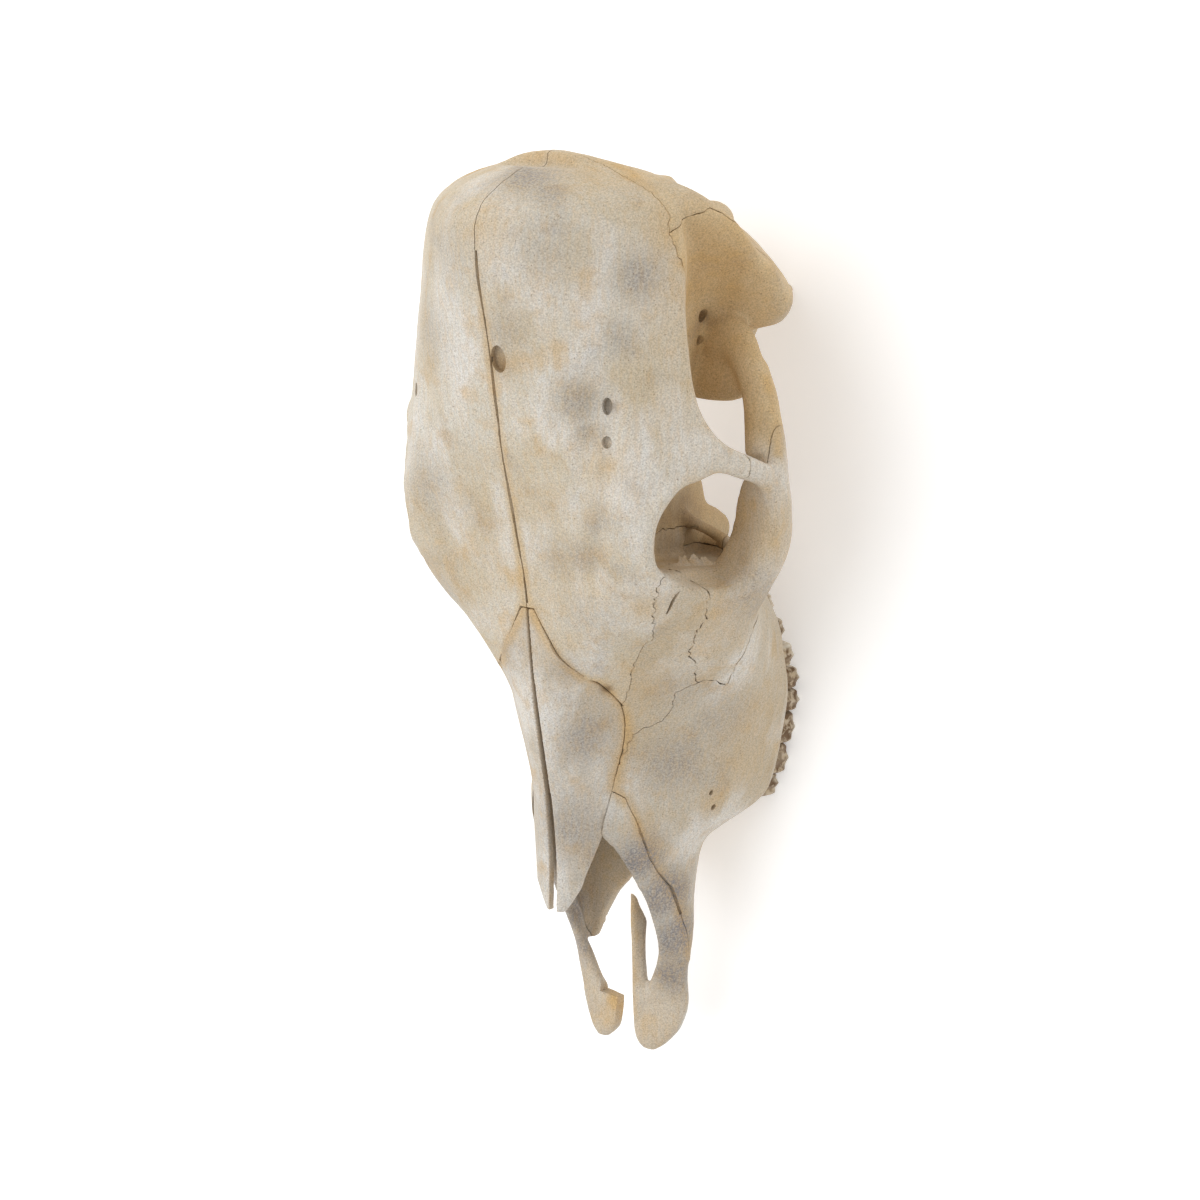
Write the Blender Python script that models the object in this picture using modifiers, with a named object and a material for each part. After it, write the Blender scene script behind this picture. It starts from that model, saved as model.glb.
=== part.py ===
"""A polled cow skull without its lower jaw, lying on its cheek teeth and jugular processes.

The nose points along -Y, the poll along +Y, the animal's left side is +X and the floor is z = 0.
Lines of the skull are read off a ruler in millimetres, as (y, x, z) or (y, value); MM makes them metres.
"""

import math

import bmesh
import bpy
from mathutils import Matrix, Vector

MM = 0.001
SEAM = 0.35 * MM
VOXEL = 2.2 * MM
SMOOTHING_ROUNDS = 5
BONE_TRIANGLES = 7400

# Braincase and forehead: crown line, edge of the temporal fossa, and how square the dome between them is.
CROWN = ((34, 162), (74, 176), (104, 187), (147, 200), (193, 213), (211, 213), (223, 200), (233, 180))
TEMPORAL_LINE = (
    (34, 76, 150), (52, 75, 162), (70, 77, 165), (88, 81, 157), (98, 90, 147), (108, 94, 140),
    (125, 87, 148), (147, 82, 153), (170, 79, 155), (193, 77, 156), (206, 75, 156), (215, 73, 154),
    (222, 66, 153), (228, 54, 151), (233, 41, 149),
)
DOME_POWER = ((34, 7), (70, 8), (90, 4.5), (108, 3.1), (147, 2.5), (185, 2), (211, 1.8), (233, 1.8))
LIP = (
    (34, 64, 138), (70, 70, 154), (108, 86, 136), (125, 80, 142), (170, 74, 146), (211, 68, 145),
    (233, 40, 141),
)
WALL_TOP = (
    (34, 36, 128), (88, 44, 130), (108, 50, 129), (147, 60, 130), (193, 61, 125), (223, 52, 125),
    (233, 38, 126),
)
WALL_MIDDLE = ((34, 32, 115), (88, 38, 113), (125, 51, 110), (170, 59, 105), (211, 54, 105), (233, 34, 108))
BASE_SIDE = ((34, 24, 106), (88, 28, 99), (125, 38, 88), (170, 44, 78), (211, 38, 80), (233, 24, 94))
BASE_MIDLINE = ((34, 102), (70, 98), (108, 90), (147, 76), (193, 70), (211, 72), (233, 92))
CRANIUM_STATIONS = (
    34, 43, 52, 61, 70, 79, 88, 94, 100, 108, 116, 125, 136, 147, 158, 170, 182, 193, 202, 209, 215, 221,
    227, 233,
)

# Face: bridge of the nose, edge of the nasal bones, side wall, facial crest, tooth sockets and palate.
BRIDGE = (
    (-185, 44), (-165, 56), (-140, 80), (-112, 100), (-96, 129), (-80, 132), (-51, 141), (-24, 149),
    (18, 158), (46, 165),
)
NASAL_EDGE = (
    (-185, 30, 43), (-165, 31, 55), (-140, 33, 80), (-112, 28, 101), (-96, 23, 113), (-80, 25, 111),
    (-60, 30, 113), (-45, 34, 116), (-30, 35, 122), (-18, 32, 136), (-5, 34, 146), (12, 42, 153),
    (30, 48, 161), (46, 48, 165),
)
NOSE_POWER = ((-185, 2), (-24, 1.6), (12, 2.2), (46, 4))
SIDE_HIGH = (
    (-185, 34, 42), (-165, 36, 50), (-140, 38, 67), (-112, 37, 86), (-80, 36, 96), (-48, 46, 98),
    (-28, 50, 108), (-10, 47, 128), (5, 53, 138), (20, 66, 145), (34, 76, 148), (46, 74, 150),
)
SIDE_LOW = (
    (-185, 36, 41), (-140, 41, 56), (-112, 43, 70), (-80, 55, 71), (-48, 62, 76), (-28, 67, 84),
    (-10, 71, 99), (12, 78, 117), (34, 84, 126), (46, 74, 124),
)
FACIAL_CREST = (
    (-185, 35, 40), (-165, 38, 43), (-140, 39, 47), (-112, 44, 52), (-96, 56, 48), (-80, 63, 44),
    (-48, 71, 46), (-28, 76, 53), (-10, 80, 66), (12, 85, 86), (34, 88, 96), (46, 78, 98),
)
SOCKET_OUTER = (
    (-185, 33, 37), (-140, 35, 40), (-112, 40, 40), (-103, 48, 32), (-92, 57, 15), (-80, 62, 12),
    (-48, 68, 14), (-28, 70, 17), (-10, 70, 23), (12, 69, 33), (34, 64, 49), (46, 57, 64),
)
SOCKET_INNER = (
    (-185, 30, 36), (-112, 34, 34), (-92, 40, 19), (-80, 43, 12), (-48, 46, 15), (-10, 47, 27), (12, 47, 35),
    (34, 47, 48), (46, 44, 62),
)
PALATE_SIDE = (
    (-185, 26, 32), (-112, 22, 31), (-80, 33, 32), (-10, 36, 36), (12, 36, 41), (34, 34, 56), (46, 32, 70),
)
PALATE_MIDLINE = ((-185, 31), (-112, 32), (-48, 36), (12, 42), (34, 62), (46, 84))
FACE_STATIONS = (
    -185, -165, -152, -140, -126, -112, -103, -96, -88, -80, -64, -48, -38, -28, -19, -10, 1, 12, 23, 34, 46,
)

# Back of the skull in level half sections: height, then (x, y) from the front round the crest to the rear midline.
OCCIPUT = (
    (46, (0, 176), (16, 176), (24, 180), (32, 184), (38, 190), (40, 198), (36, 206), (28, 212), (16, 216),
     (0, 214)),
    (60, (0, 160), (28, 160), (40, 166), (50, 172), (58, 180), (58, 190), (50, 204), (38, 212), (22, 218),
     (0, 216)),
    (75, (0, 150), (38, 150), (52, 156), (68, 162), (83, 167), (88, 181), (68, 202), (44, 217), (24, 225),
     (0, 223)),
    (92, (0, 148), (45, 148), (60, 156), (78, 163), (94, 170), (96, 184), (76, 204), (48, 221), (24, 228),
     (0, 230)),
    (106, (0, 150), (45, 152), (60, 166), (72, 178), (90, 187), (91, 195), (75, 210), (50, 225), (25, 232),
     (0, 234)),
    (122, (0, 155), (45, 160), (60, 176), (70, 192), (84, 205), (84, 212), (74, 219), (52, 228), (26, 235),
     (0, 237)),
    (138, (0, 160), (45, 168), (58, 188), (67, 202), (78, 211), (81, 217), (71, 225), (50, 232), (26, 237),
     (0, 239)),
    (150, (0, 170), (38, 178), (48, 195), (60, 207), (69, 213), (71, 219), (60, 227), (42, 233), (22, 239),
     (0, 242)),
    (163, (0, 180), (26, 186), (32, 204), (42, 212), (48, 217), (45, 224), (34, 231), (22, 236), (12, 240),
     (0, 241)),
)
# Left cheekbone in cross-sections: y, then (x, z) of inner edge, orbital floor, crest, face, border and underside.
CHEEKBONE = (
    (16, (60, 118), (72, 118), (80, 108), (85, 92), (80, 76), (68, 72), (58, 88)),
    (34, (66, 112), (82, 116), (92, 112), (97, 98), (93, 82), (80, 80), (66, 92)),
    (48, (73, 104), (86, 107), (100, 109), (105, 97), (101, 85), (90, 85), (77, 96)),
    (63, (79, 101), (91, 105), (105, 109), (108, 98), (106, 87), (96, 88), (83, 95)),
    (77, (81, 102), (95, 107), (109, 111), (111, 102), (108, 92), (99, 91), (85, 96)),
    (90, (86, 105), (96, 110), (106, 113), (110, 106), (108, 96), (99, 94), (89, 98)),
    (102, (95, 105), (100, 108), (106, 109), (108, 105), (107, 98), (101, 97), (97, 101)),
)
ORBIT_CENTRE = (90, 68, 132)
# Crest of the left orbit's rim, as (x, y, z).
ORBIT_RIM = (
    (77, 73, 165), (75, 57, 163), (78, 44, 155), (86, 37, 134), (92, 38, 115), (99, 47, 107), (107, 62, 108),
    (110, 76, 111), (106, 88, 115), (100, 97, 127), (96, 98, 135), (90, 93, 146), (83, 87, 157),
)
RIM_WIDTH = 7
RIM_THICKNESS = 8
# Bars as (x, y, z, half width, half thickness).
BROW_BAR = (
    (76, 108, 150, 14, 5), (86, 106, 145, 11, 5), (94, 102, 136, 7, 5), (100, 98, 124, 6, 5),
    (104, 94, 112, 6, 5),
)
TEMPORAL_ARCH = (
    (60, 158, 100, 14, 6), (74, 156, 101, 11, 6), (83, 147, 103, 8.5, 5.5), (90, 132, 103, 8.5, 5.5),
    (93, 116, 104, 8, 5), (95, 102, 107, 6.5, 4.5),
)
CHEEK_ARCH = (
    (104, 92, 102, 4.5, 8), (101.5, 108, 101, 4.2, 7), (98.5, 122, 101, 3.4, 6), (95, 136, 101, 2.6, 4.5),
    (90, 147, 101, 2.4, 4),
)
SHELF = ((44, 143, 97, 17, 8), (62, 142, 96, 17, 7), (74, 142, 96, 15, 7), (83, 145, 98, 9, 6))
SKULL_BASE = (
    (0, 216, 60, 22, 11), (0, 200, 58, 20, 11), (0, 175, 62, 18, 12), (0, 140, 70, 18, 14),
    (0, 100, 84, 17, 14), (0, 55, 94, 16, 14),
)
JUGULAR_PROCESS = ((44, 190, 62, 13, 9), (45, 187, 42, 11, 6), (43, 182, 22, 8, 5), (41, 178, 0, 5, 3.5))
CONDYLE = ((13, 205, 46, 9, 9), (24, 211, 52, 12, 11), (32, 211, 66, 11, 11), (28, 208, 82, 8, 8))
EAR_CANAL = ((54, 168, 68, 11, 10), (70, 174, 74, 9, 9), (78, 177, 80, 7, 7))
BULLA = ((42, 148, 58, 5, 6), (42, 156, 50, 9, 12), (43, 166, 48, 9, 12), (42, 176, 54, 5, 7))
# Thin plates as (upper edge, lower edge, thickness), each edge (x, y, z).
ORBIT_WALL = (
    ((44, 20, 112), (30, 20, 52), 5), ((46, 32, 122), (33, 31, 38), 6), ((46, 46, 126), (34, 45, 30), 6),
    ((46, 58, 130), (35, 57, 31), 7), ((46, 66, 130), (35, 65, 44), 6), ((47, 74, 130), (36, 70, 57), 6),
    ((48, 84, 129), (37, 80, 64), 6), ((49, 94, 127), (36, 92, 72), 6),
)
# Thin bone that closes the front of the orbit.
LACRIMAL_BULLA = (
    ((76, 43, 150), (60, 45, 128), 5), ((82, 38, 140), (62, 48, 117), 5), ((86, 37, 128), (66, 49, 110), 5),
    ((90, 38, 117), (71, 48, 106), 5), ((92, 41, 110), (76, 47, 104), 5),
)
ORBIT_STRUT = ((43, 66, 93, 4, 4), (50, 61, 84, 3, 4), (57, 56, 77, 3, 4), (66, 50, 76, 4, 5), (76, 46, 88, 5, 5))
# Ridge at the back of the upper jaw, under the orbit.
MAXILLARY_TUBER = ((26, 44, 70, 12, 8), (44, 44, 66, 12, 8), (60, 42, 70, 10, 9), (76, 42, 82, 8, 9))
PREMAXILLA = (
    ((24, -82, 108), (30, -82, 103), 4), ((25, -98, 106), (35, -98, 93), 4.5),
    ((27, -115, 98), (37, -115, 81), 4.5), ((30, -135, 84), (38, -134, 66), 4.5),
    ((30, -155, 72), (38, -153, 53), 5), ((28, -173, 61), (37, -175, 45), 6),
    ((21, -190, 54), (36, -190, 42), 7), ((11, -206, 48), (37, -204, 41), 8),
    ((6, -214, 46), (36, -213, 41), 9), ((5, -223, 45), (32, -223, 41), 10),
    ((8, -231, 46), (26, -231, 44), 9), ((13, -236, 46), (20, -236, 46), 6),
)
PALATINE_PROCESS = (
    ((6, -220, 47), (16, -220, 44), 7), ((6, -205, 50), (15, -205, 47), 6),
    ((7, -180, 55), (13, -180, 50), 5), ((7, -155, 59), (12, -155, 50), 4.5),
    ((7, -134, 61), (11, -134, 52), 4), ((7, -118, 62), (9, -118, 56), 4),
)
# The right premaxilla ends in a broken hook and has lost its palatine process.
PREMAXILLA_BROKEN = (
    *PREMAXILLA[:5], ((29, -173, 59), (38, -175, 45), 6), ((24, -190, 50), (36, -191, 42), 6.5),
    ((17, -207, 47), (32, -208, 42), 7), ((4, -213, 46), (30, -216, 43), 8), ((4, -223, 46), (27, -223, 43), 9),
    ((6, -231, 45), (22, -232, 44), 8), ((11, -236, 45), (17, -237, 45), 5),
)
# Nasal cavity: edge of its roof, middle and bottom of its side wall, floor.
CAVITY_TOP = (
    (-200, 24, 44), (-165, 27, 56), (-140, 28, 78), (-112, 23, 99), (-96, 18, 111), (-80, 20, 107),
    (-45, 28, 112), (-10, 14, 140), (8, 5, 150),
)
CAVITY_MIDDLE = (
    (-200, 30, 42), (-165, 32, 48), (-140, 35, 60), (-112, 34, 78), (-96, 33, 87), (-80, 34, 87),
    (-45, 36, 94), (-10, 18, 120), (8, 6, 140),
)
CAVITY_BOTTOM = (
    (-200, 28, 39), (-165, 30, 40), (-112, 36, 45), (-80, 43, 50), (-45, 32, 60), (-10, 16, 90), (8, 5, 115),
)
CAVITY_FLOOR = ((-200, 36), (-112, 38), (-80, 41), (-45, 50), (-10, 80), (8, 110))
CAVITY_CEILING = 165
NOTCH_TOP = 60
CAVITY_STATIONS = (-200, -182, -165, -152, -140, -126, -112, -104, -96, -88, -80, -62, -45, -28, -10, 8)
# Front edge of the palate between the two maxillae, as (x, y).
PALATE_NOTCH = ((0, -142), (9, -145), (18, -157), (25, -172), (30, -190), (30, -215), (0, -215))
NASAL_STATIONS = (-145, -141, -134, -122, -110, -96, -80, -62, -45, -30, -18, -8, 2, 12, 19)
NASAL_TIP = -147
NASAL_THICKNESS = 5
NASAL_STEPS = 5
NASAL_RIDGE = ((-150, 121), (-117, 124), (-84, 131), (-51, 141), (-24, 149), (18, 158.3), (22, 159))
NASAL_SIDE = (
    (-147, 11, 119), (-126, 15, 117), (-104, 21, 113), (-80, 25, 111), (-60, 30, 113), (-45, 34, 116),
    (-30, 35, 122), (-18, 31, 136), (-5, 18, 153), (5, 12, 156), (19, 4, 158),
)
NASAL_ARCH = ((-147, 1.8), (-24, 1.7), (-5, 2), (19, 2))
# Half the gap between the nasals.
NASAL_INNER = ((-147, 2.2), (-80, 1.6), (-30, 0.9), (19, 0.5))
FORAMEN_MAGNUM = (0, 222, 68)
FORAMEN_RADIUS = 16
# Teeth, from the first premolar to the last molar: row, sizes and the height of the chewing face.
TOOTH_LENGTHS = (13, 17, 18, 25, 28, 27)
TOOTH_WIDTHS = (14, 18, 20, 22, 23, 21)
LOBE_OVERLAP = 1.12
TOOTH_ROW = ((-92, 50), (-80, 54), (-48, 57), (-10, 57), (36, 50))
CHEWING_HEIGHT = ((-92, 1), (-40, 0), (-24, 3), (-6, 14), (14, 26), (36, 36))
ROOT_HEIGHT = ((-92, 24), (-80, 24), (-48, 27), (-10, 38), (36, 62))
# Sutures seen from the side, as (y, z): floor of the frontals, rear edges of lacrimal and zygomatic.
FRONTAL_FLOOR = (
    (-62, 112), (-32, 120), (-10, 130), (11, 138), (18, 144), (32, 152), (43, 156), (54, 144), (66, 133),
    (82, 127), (104, 127), (116, 134), (130, 141), (147, 146), (170, 148), (185, 150), (196, 158),
    (204, 160), (211, 160), (217, 159), (224, 158), (231, 157), (250, 157),
)
ZYGOMATIC_OUTLINE = (
    (38, 129), (28, 125), (22, 121), (17, 122), (11, 121), (2, 116), (-9, 105), (-15, 100), (-14, 92),
    (-18, 84), (-7, 86), (9, 84), (20, 76), (34, 66), (160, 66), (160, 170), (52, 170), (48, 140),
)
ZYGOMATIC_INNER = 62
PREMAXILLA_OUTLINE = (
    (-78, 112), (-82, 105), (-105, 94), (-123, 82), (-135, 69), (-150, 58), (-166, 50), (-179, 44),
    (-187, 38), (-190, 20), (-250, 20), (-250, 140), (-78, 140),
)
LACRIMAL_OUTLINE = (
    (-70, 118), (-56, 113), (-44, 111), (-38, 103), (-32, 102), (-21, 106), (-15, 100), (10, 92), (60, 88),
    (60, 200), (-70, 200),
)
TEMPORAL_OUTLINE = (
    (118, 190), (118, 76), (140, 66), (164, 60), (176, 64), (184, 74), (191, 86), (201, 104), (212, 122),
    (219, 139), (207, 160), (200, 190),
)
TEMPORAL_INNER = 38
# The temporal half of the cheek arch, from above as (x, y).
ARCH_OUTLINE = (
    (88, 91), (98, 91), (103, 97), (102, 108), (103, 118), (107, 129), (112, 138), (112, 158), (60, 158),
    (60, 122), (80, 112),
)
ARCH_BAND = (84, 113)
FACE_REAR = 50
BASE_REAR = 118
FAR = 260
BONE_ROUGHNESS = 0.72
SHARP_ANGLE = 40
# Colours of the bones: pale forehead and nose, tan sides and braincase.
BONE_COLOURS = {
    "frontal": (0.68, 0.62, 0.51), "nasal": (0.70, 0.67, 0.60), "premaxilla": (0.66, 0.61, 0.52),
    "maxilla": (0.66, 0.59, 0.47), "lacrimal": (0.65, 0.57, 0.44), "zygomatic": (0.62, 0.52, 0.38),
    "temporal": (0.60, 0.46, 0.29), "occiput": (0.62, 0.50, 0.34), "skull_base": (0.58, 0.45, 0.30),
}


def value_at(line, y):
    """The values of a line at y, through its points by cubic Hermite pieces."""
    index = 0
    while index < len(line) - 2 and y > line[index + 1][0]:
        index += 1
    before = line[max(index - 1, 0)]
    start = line[index]
    end = line[index + 1]
    after = line[min(index + 2, len(line) - 1)]
    span = end[0] - start[0]
    t = (y - start[0]) / span
    made = []
    for k in range(1, len(start)):
        slope_in = (end[k] - before[k]) / (end[0] - before[0]) * span
        slope_out = (after[k] - start[k]) / (after[0] - start[0]) * span
        made.append(
            (2 * t**3 - 3 * t**2 + 1) * start[k] + (t**3 - 2 * t**2 + t) * slope_in
            + (3 * t**2 - 2 * t**3) * end[k] + (t**3 - t**2) * slope_out
        )
    return made


def smooth_rows(rows, steps):
    """Catmull-Rom through rows of numbers, with the given steps between two rows."""
    ahead = [2 * a - b for a, b in zip(rows[0], rows[1])]
    behind = [2 * a - b for a, b in zip(rows[-1], rows[-2])]
    padded = [ahead, *rows, behind]
    made = []
    for r0, r1, r2, r3 in zip(padded, padded[1:], padded[2:], padded[3:]):
        for step in range(steps):
            t = step / steps
            made.append([
                0.5 * (2 * b + (c - a) * t + (2 * a - 5 * b + 4 * c - d) * t**2 + (3 * b - a - 3 * c + d) * t**3)
                for a, b, c, d in zip(r0, r1, r2, r3)
            ])
    return [*made, list(rows[-1])]


def add_object(name, mesh, collection):
    made = bpy.data.objects.new(name, mesh)
    collection.objects.link(made)
    return made


def loft(name, rings, collection):
    """A closed solid through rings of equally many points, in millimetres."""
    made = bmesh.new()
    rows = [[made.verts.new(Vector(point) * MM) for point in ring] for ring in rings]
    count = len(rows[0])
    for row, following in zip(rows, rows[1:]):
        for i in range(count):
            j = (i + 1) % count
            made.faces.new((row[i], row[j], following[j]))
            made.faces.new((row[i], following[j], following[i]))
    made.faces.new(reversed(rows[0]))
    made.faces.new(rows[-1])
    bmesh.ops.triangulate(made, faces=[f for f in made.faces if len(f.verts) > 4])
    bmesh.ops.recalc_face_normals(made, faces=made.faces)
    mesh = bpy.data.meshes.new(name)
    made.to_mesh(mesh)
    made.free()
    return add_object(name, mesh, collection)


def mirrored(half):
    """A whole section from its half at +x, whose first and last points lie on the midline."""
    return half + [(-x, z) for x, z in reversed(half[1:-1])]


def dome(top, x, z, power, count):
    """Points from the midline out to (x, z), flatter in the middle the higher the power."""
    made = []
    for i in range(count):
        share = i / count
        made.append((x * share, top - (top - z) * share**power))
    return made


def cranium(collection):
    rings = []
    for y in CRANIUM_STATIONS:
        top, = value_at(CROWN, y)
        power, = value_at(DOME_POWER, y)
        x, z = value_at(TEMPORAL_LINE, y)
        lines = [value_at(line, y) for line in (TEMPORAL_LINE, LIP, WALL_TOP, WALL_MIDDLE, BASE_SIDE)]
        lower = smooth_rows([*lines, [0, value_at(BASE_MIDLINE, y)[0]]], 2)
        half = dome(top, x, z, power, 9) + [tuple(p) for p in lower]
        rings.append([(px, y, pz) for px, pz in mirrored(half)])
    return loft("cranium", rings, collection)


def face(collection):
    rings = []
    for y in FACE_STATIONS:
        top, = value_at(BRIDGE, y)
        power, = value_at(NOSE_POWER, y)
        x, z = value_at(NASAL_EDGE, y)
        lines = [
            value_at(line, y)
            for line in (NASAL_EDGE, SIDE_HIGH, SIDE_LOW, FACIAL_CREST, SOCKET_OUTER, SOCKET_INNER, PALATE_SIDE)
        ]
        lower = smooth_rows([*lines, [0, value_at(PALATE_MIDLINE, y)[0]]], 3)
        half = dome(top, x, z, power, 6) + [tuple(p) for p in lower]
        rings.append([(px, y, pz) for px, pz in mirrored(half)])
    return loft("face", rings, collection)


def flat_rows(slices):
    """Slices of a place and points as plain rows of numbers."""
    return [[place, *(value for point in points for value in point)] for place, *points in slices]


def occiput(collection):
    rings = []
    for row in smooth_rows(flat_rows(OCCIPUT), 2):
        half = smooth_rows([list(row[i:i + 2]) for i in range(1, len(row), 2)], 2)
        rings.append([(x, y, row[0]) for x, y in mirrored([tuple(p) for p in half])])
    return loft("occiput", rings, collection)


def cheekbone(name, collection, side):
    rings = []
    for row in smooth_rows(flat_rows(CHEEKBONE), 3):
        rings.append([(side * row[i], row[0], row[i + 1]) for i in range(1, len(row), 2)])
    return loft(name, rings, collection)


def bar(name, stations, collection, side=1, up=(0, 0, 1), sides=12):
    """A bar of elliptical section; its half thickness lies along up, its half width across."""
    rows = smooth_rows([list(row) for row in stations], 4)
    centres = [Vector(row[:3]) for row in rows]
    rings = []
    for i, row in enumerate(rows):
        forward = (centres[min(i + 1, len(rows) - 1)] - centres[max(i - 1, 0)]).normalized()
        across = forward.cross(Vector(up)).normalized()
        lift = across.cross(forward)
        ring = []
        for k in range(sides):
            turn = 2 * math.pi * k / sides
            point = centres[i] + across * (row[3] * math.cos(turn)) + lift * (row[4] * math.sin(turn))
            ring.append((side * point.x, point.y, point.z))
        rings.append(ring)
    return loft(name, rings, collection)


def blade(name, stations, collection, side=1, sides=10, squareness=0.7):
    """A plate of rounded section, given by its two edges and its thickness at each station."""
    rows = smooth_rows([[*upper, *lower, thick] for upper, lower, thick in stations], 2)
    middles = [(Vector(row[:3]) + Vector(row[3:6])) / 2 for row in rows]
    rings = []
    for i, row in enumerate(rows):
        forward = (middles[min(i + 1, len(rows) - 1)] - middles[max(i - 1, 0)]).normalized()
        across = (Vector(row[3:6]) - Vector(row[:3])) / 2
        lift = across.cross(forward).normalized() * row[6] / 2
        ring = []
        for k in range(sides):
            turn = 2 * math.pi * k / sides
            wide = math.copysign(abs(math.cos(turn)) ** squareness, math.cos(turn))
            high = math.copysign(abs(math.sin(turn)) ** squareness, math.sin(turn))
            point = middles[i] + across * wide + lift * high
            ring.append((side * point.x, point.y, point.z))
        rings.append(ring)
    return loft(name, rings, collection)


def orbit_rim(name, collection, side):
    """The ring round the orbit, its inner edge on the rim's crest."""
    centre = Vector(ORBIT_CENTRE)
    path = [Vector(p) for p in ORBIT_RIM]
    normal = sum((a.cross(b) for a, b in zip(
        [p - centre for p in path], [p - centre for p in path[1:] + path[:1]])), Vector()).normalized()
    rows = smooth_rows([list(p) for p in [*path, path[0]]], 3)[:-1]
    rings = []
    for row in rows:
        crest = Vector(row)
        outward = (crest - centre - normal * (crest - centre).dot(normal)).normalized()
        middle = crest + outward * (RIM_WIDTH / 2 - 2) - normal * (RIM_THICKNESS / 2)
        ring = []
        for k in range(10):
            turn = 2 * math.pi * k / 10
            point = middle + outward * (RIM_WIDTH / 2 * math.cos(turn))
            point += normal * (RIM_THICKNESS / 2 * math.sin(turn))
            ring.append((side * point.x, point.y, point.z))
        rings.append(ring)
    made = bmesh.new()
    grid = [[made.verts.new(Vector(point) * MM) for point in ring] for ring in rings]
    for row, following in zip(grid, grid[1:] + grid[:1]):
        for i in range(10):
            j = (i + 1) % 10
            made.faces.new((row[i], row[j], following[j], following[i]))
    bmesh.ops.recalc_face_normals(made, faces=made.faces)
    mesh = bpy.data.meshes.new(name)
    made.to_mesh(mesh)
    made.free()
    return add_object(name, mesh, collection)


def new_collection(name):
    made = bpy.data.collections.new(name)
    bpy.context.scene.collection.children.link(made)
    return made


def clear_scene():
    for old in list(bpy.data.objects):
        bpy.data.objects.remove(old)


def apply_modifiers(target):
    evaluated = target.evaluated_get(bpy.context.evaluated_depsgraph_get())
    mesh = bpy.data.meshes.new_from_object(evaluated)
    target.modifiers.clear()
    target.data = mesh


def keep_largest(target):
    """Drops every loose scrap but the closed surface with the most volume."""
    made = bmesh.new()
    made.from_mesh(target.data)
    unseen = set(made.faces)
    islands = []
    while unseen:
        stack = [unseen.pop()]
        island = [stack[0]]
        while stack:
            for edge in stack.pop().edges:
                for face_beside in edge.link_faces:
                    if face_beside in unseen:
                        unseen.discard(face_beside)
                        stack.append(face_beside)
                        island.append(face_beside)
        islands.append(island)
    largest = max(islands, key=volume_of)
    scraps = [f for island in islands if island is not largest for f in island]
    bmesh.ops.delete(made, geom=scraps, context="FACES")
    bmesh.ops.triangulate(made, faces=made.faces)
    made.to_mesh(target.data)
    made.free()


def volume_of(island):
    """Signed volume under a set of outward faces."""
    total = 0
    for one in island:
        corners = [v.co for v in one.verts]
        for b, c in zip(corners[1:], corners[2:]):
            total += corners[0].dot(b.cross(c)) / 6
    return total


def boolean(target, operation, other):
    modifier = target.modifiers.new(operation.lower(), "BOOLEAN")
    modifier.operation = operation
    modifier.solver = "MANIFOLD"
    modifier.object = other
    apply_modifiers(target)


def union(name, pieces, collection):
    """One mesh from a collection of closed pieces, which are then removed."""
    joined = new_collection(name + "_pieces")
    for piece in pieces[1:]:
        joined.objects.link(piece)
    target = pieces[0]
    modifier = target.modifiers.new("union", "BOOLEAN")
    modifier.operation = "UNION"
    modifier.operand_type = "COLLECTION"
    modifier.solver = "EXACT"
    modifier.collection = joined
    apply_modifiers(target)
    for piece in pieces[1:]:
        bpy.data.objects.remove(piece)
    bpy.data.collections.remove(joined)
    target.name = name
    keep_largest(target)
    return target


def offset_outline(outline, margin):
    """The outline with each side moved outward by the margin; the corners go round anticlockwise."""
    area = sum(a[0] * b[1] - b[0] * a[1] for a, b in zip(outline, outline[1:] + outline[:1]))
    corners = outline if area > 0 else tuple(reversed(outline))
    made = []
    for before, corner, after in zip(corners[-1:] + corners[:-1], corners, corners[1:] + corners[:1]):
        first = (Vector(corner) - Vector(before)).normalized()
        second = (Vector(after) - Vector(corner)).normalized()
        normal = (Vector((first.y, -first.x)) + Vector((second.y, -second.x))).normalized()
        reach = margin / max(normal.dot(Vector((first.y, -first.x))), 0.4)
        made.append(Vector(corner) + normal * reach)
    return made


def prism(name, outline, start, end, collection, axis="X", margin=0):
    """A closed block with an outline seen along an axis, from start to end along it."""
    corners = offset_outline(tuple(outline), margin)
    made = bmesh.new()
    if axis == "X":
        place = [(start - margin, c.x, c.y) for c in corners]
        push = Vector((end - start + 2 * margin, 0, 0))
    else:
        place = [(c.x, c.y, start - margin) for c in corners]
        push = Vector((0, 0, end - start + 2 * margin))
    flat = made.faces.new([made.verts.new(Vector(p) * MM) for p in place])
    raised = bmesh.ops.extrude_face_region(made, geom=[flat])
    far_corners = [v for v in raised["geom"] if isinstance(v, bmesh.types.BMVert)]
    bmesh.ops.translate(made, verts=far_corners, vec=push * MM)
    bmesh.ops.triangulate(made, faces=made.faces)
    bmesh.ops.recalc_face_normals(made, faces=made.faces)
    mesh = bpy.data.meshes.new(name)
    made.to_mesh(mesh)
    made.free()
    return add_object(name, mesh, collection)


def take(name, rest, cell_of, skull, cutters):
    """Cuts the bone inside a cell out of the rest, leaving a seam between them."""
    bone = add_object(name, rest.data.copy(), skull)
    cell = cell_of(0, cutters)
    boolean(bone, "INTERSECT", cell)
    bpy.data.objects.remove(cell)
    keep_largest(bone)
    cell = cell_of(SEAM / MM, cutters)
    boolean(rest, "DIFFERENCE", cell)
    bpy.data.objects.remove(cell)
    return bone


def signed(side, inner, outer):
    """The x range of a cell on one side."""
    return (inner, outer) if side == 1 else (-outer, -inner)


def frontal_cell(side):
    outline = (*FRONTAL_FLOOR, (250, 240), (-62, 240))
    start, end = signed(side, 0, FAR)
    return lambda margin, cutters: prism("cell", outline, start, end, cutters, margin=margin)


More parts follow.
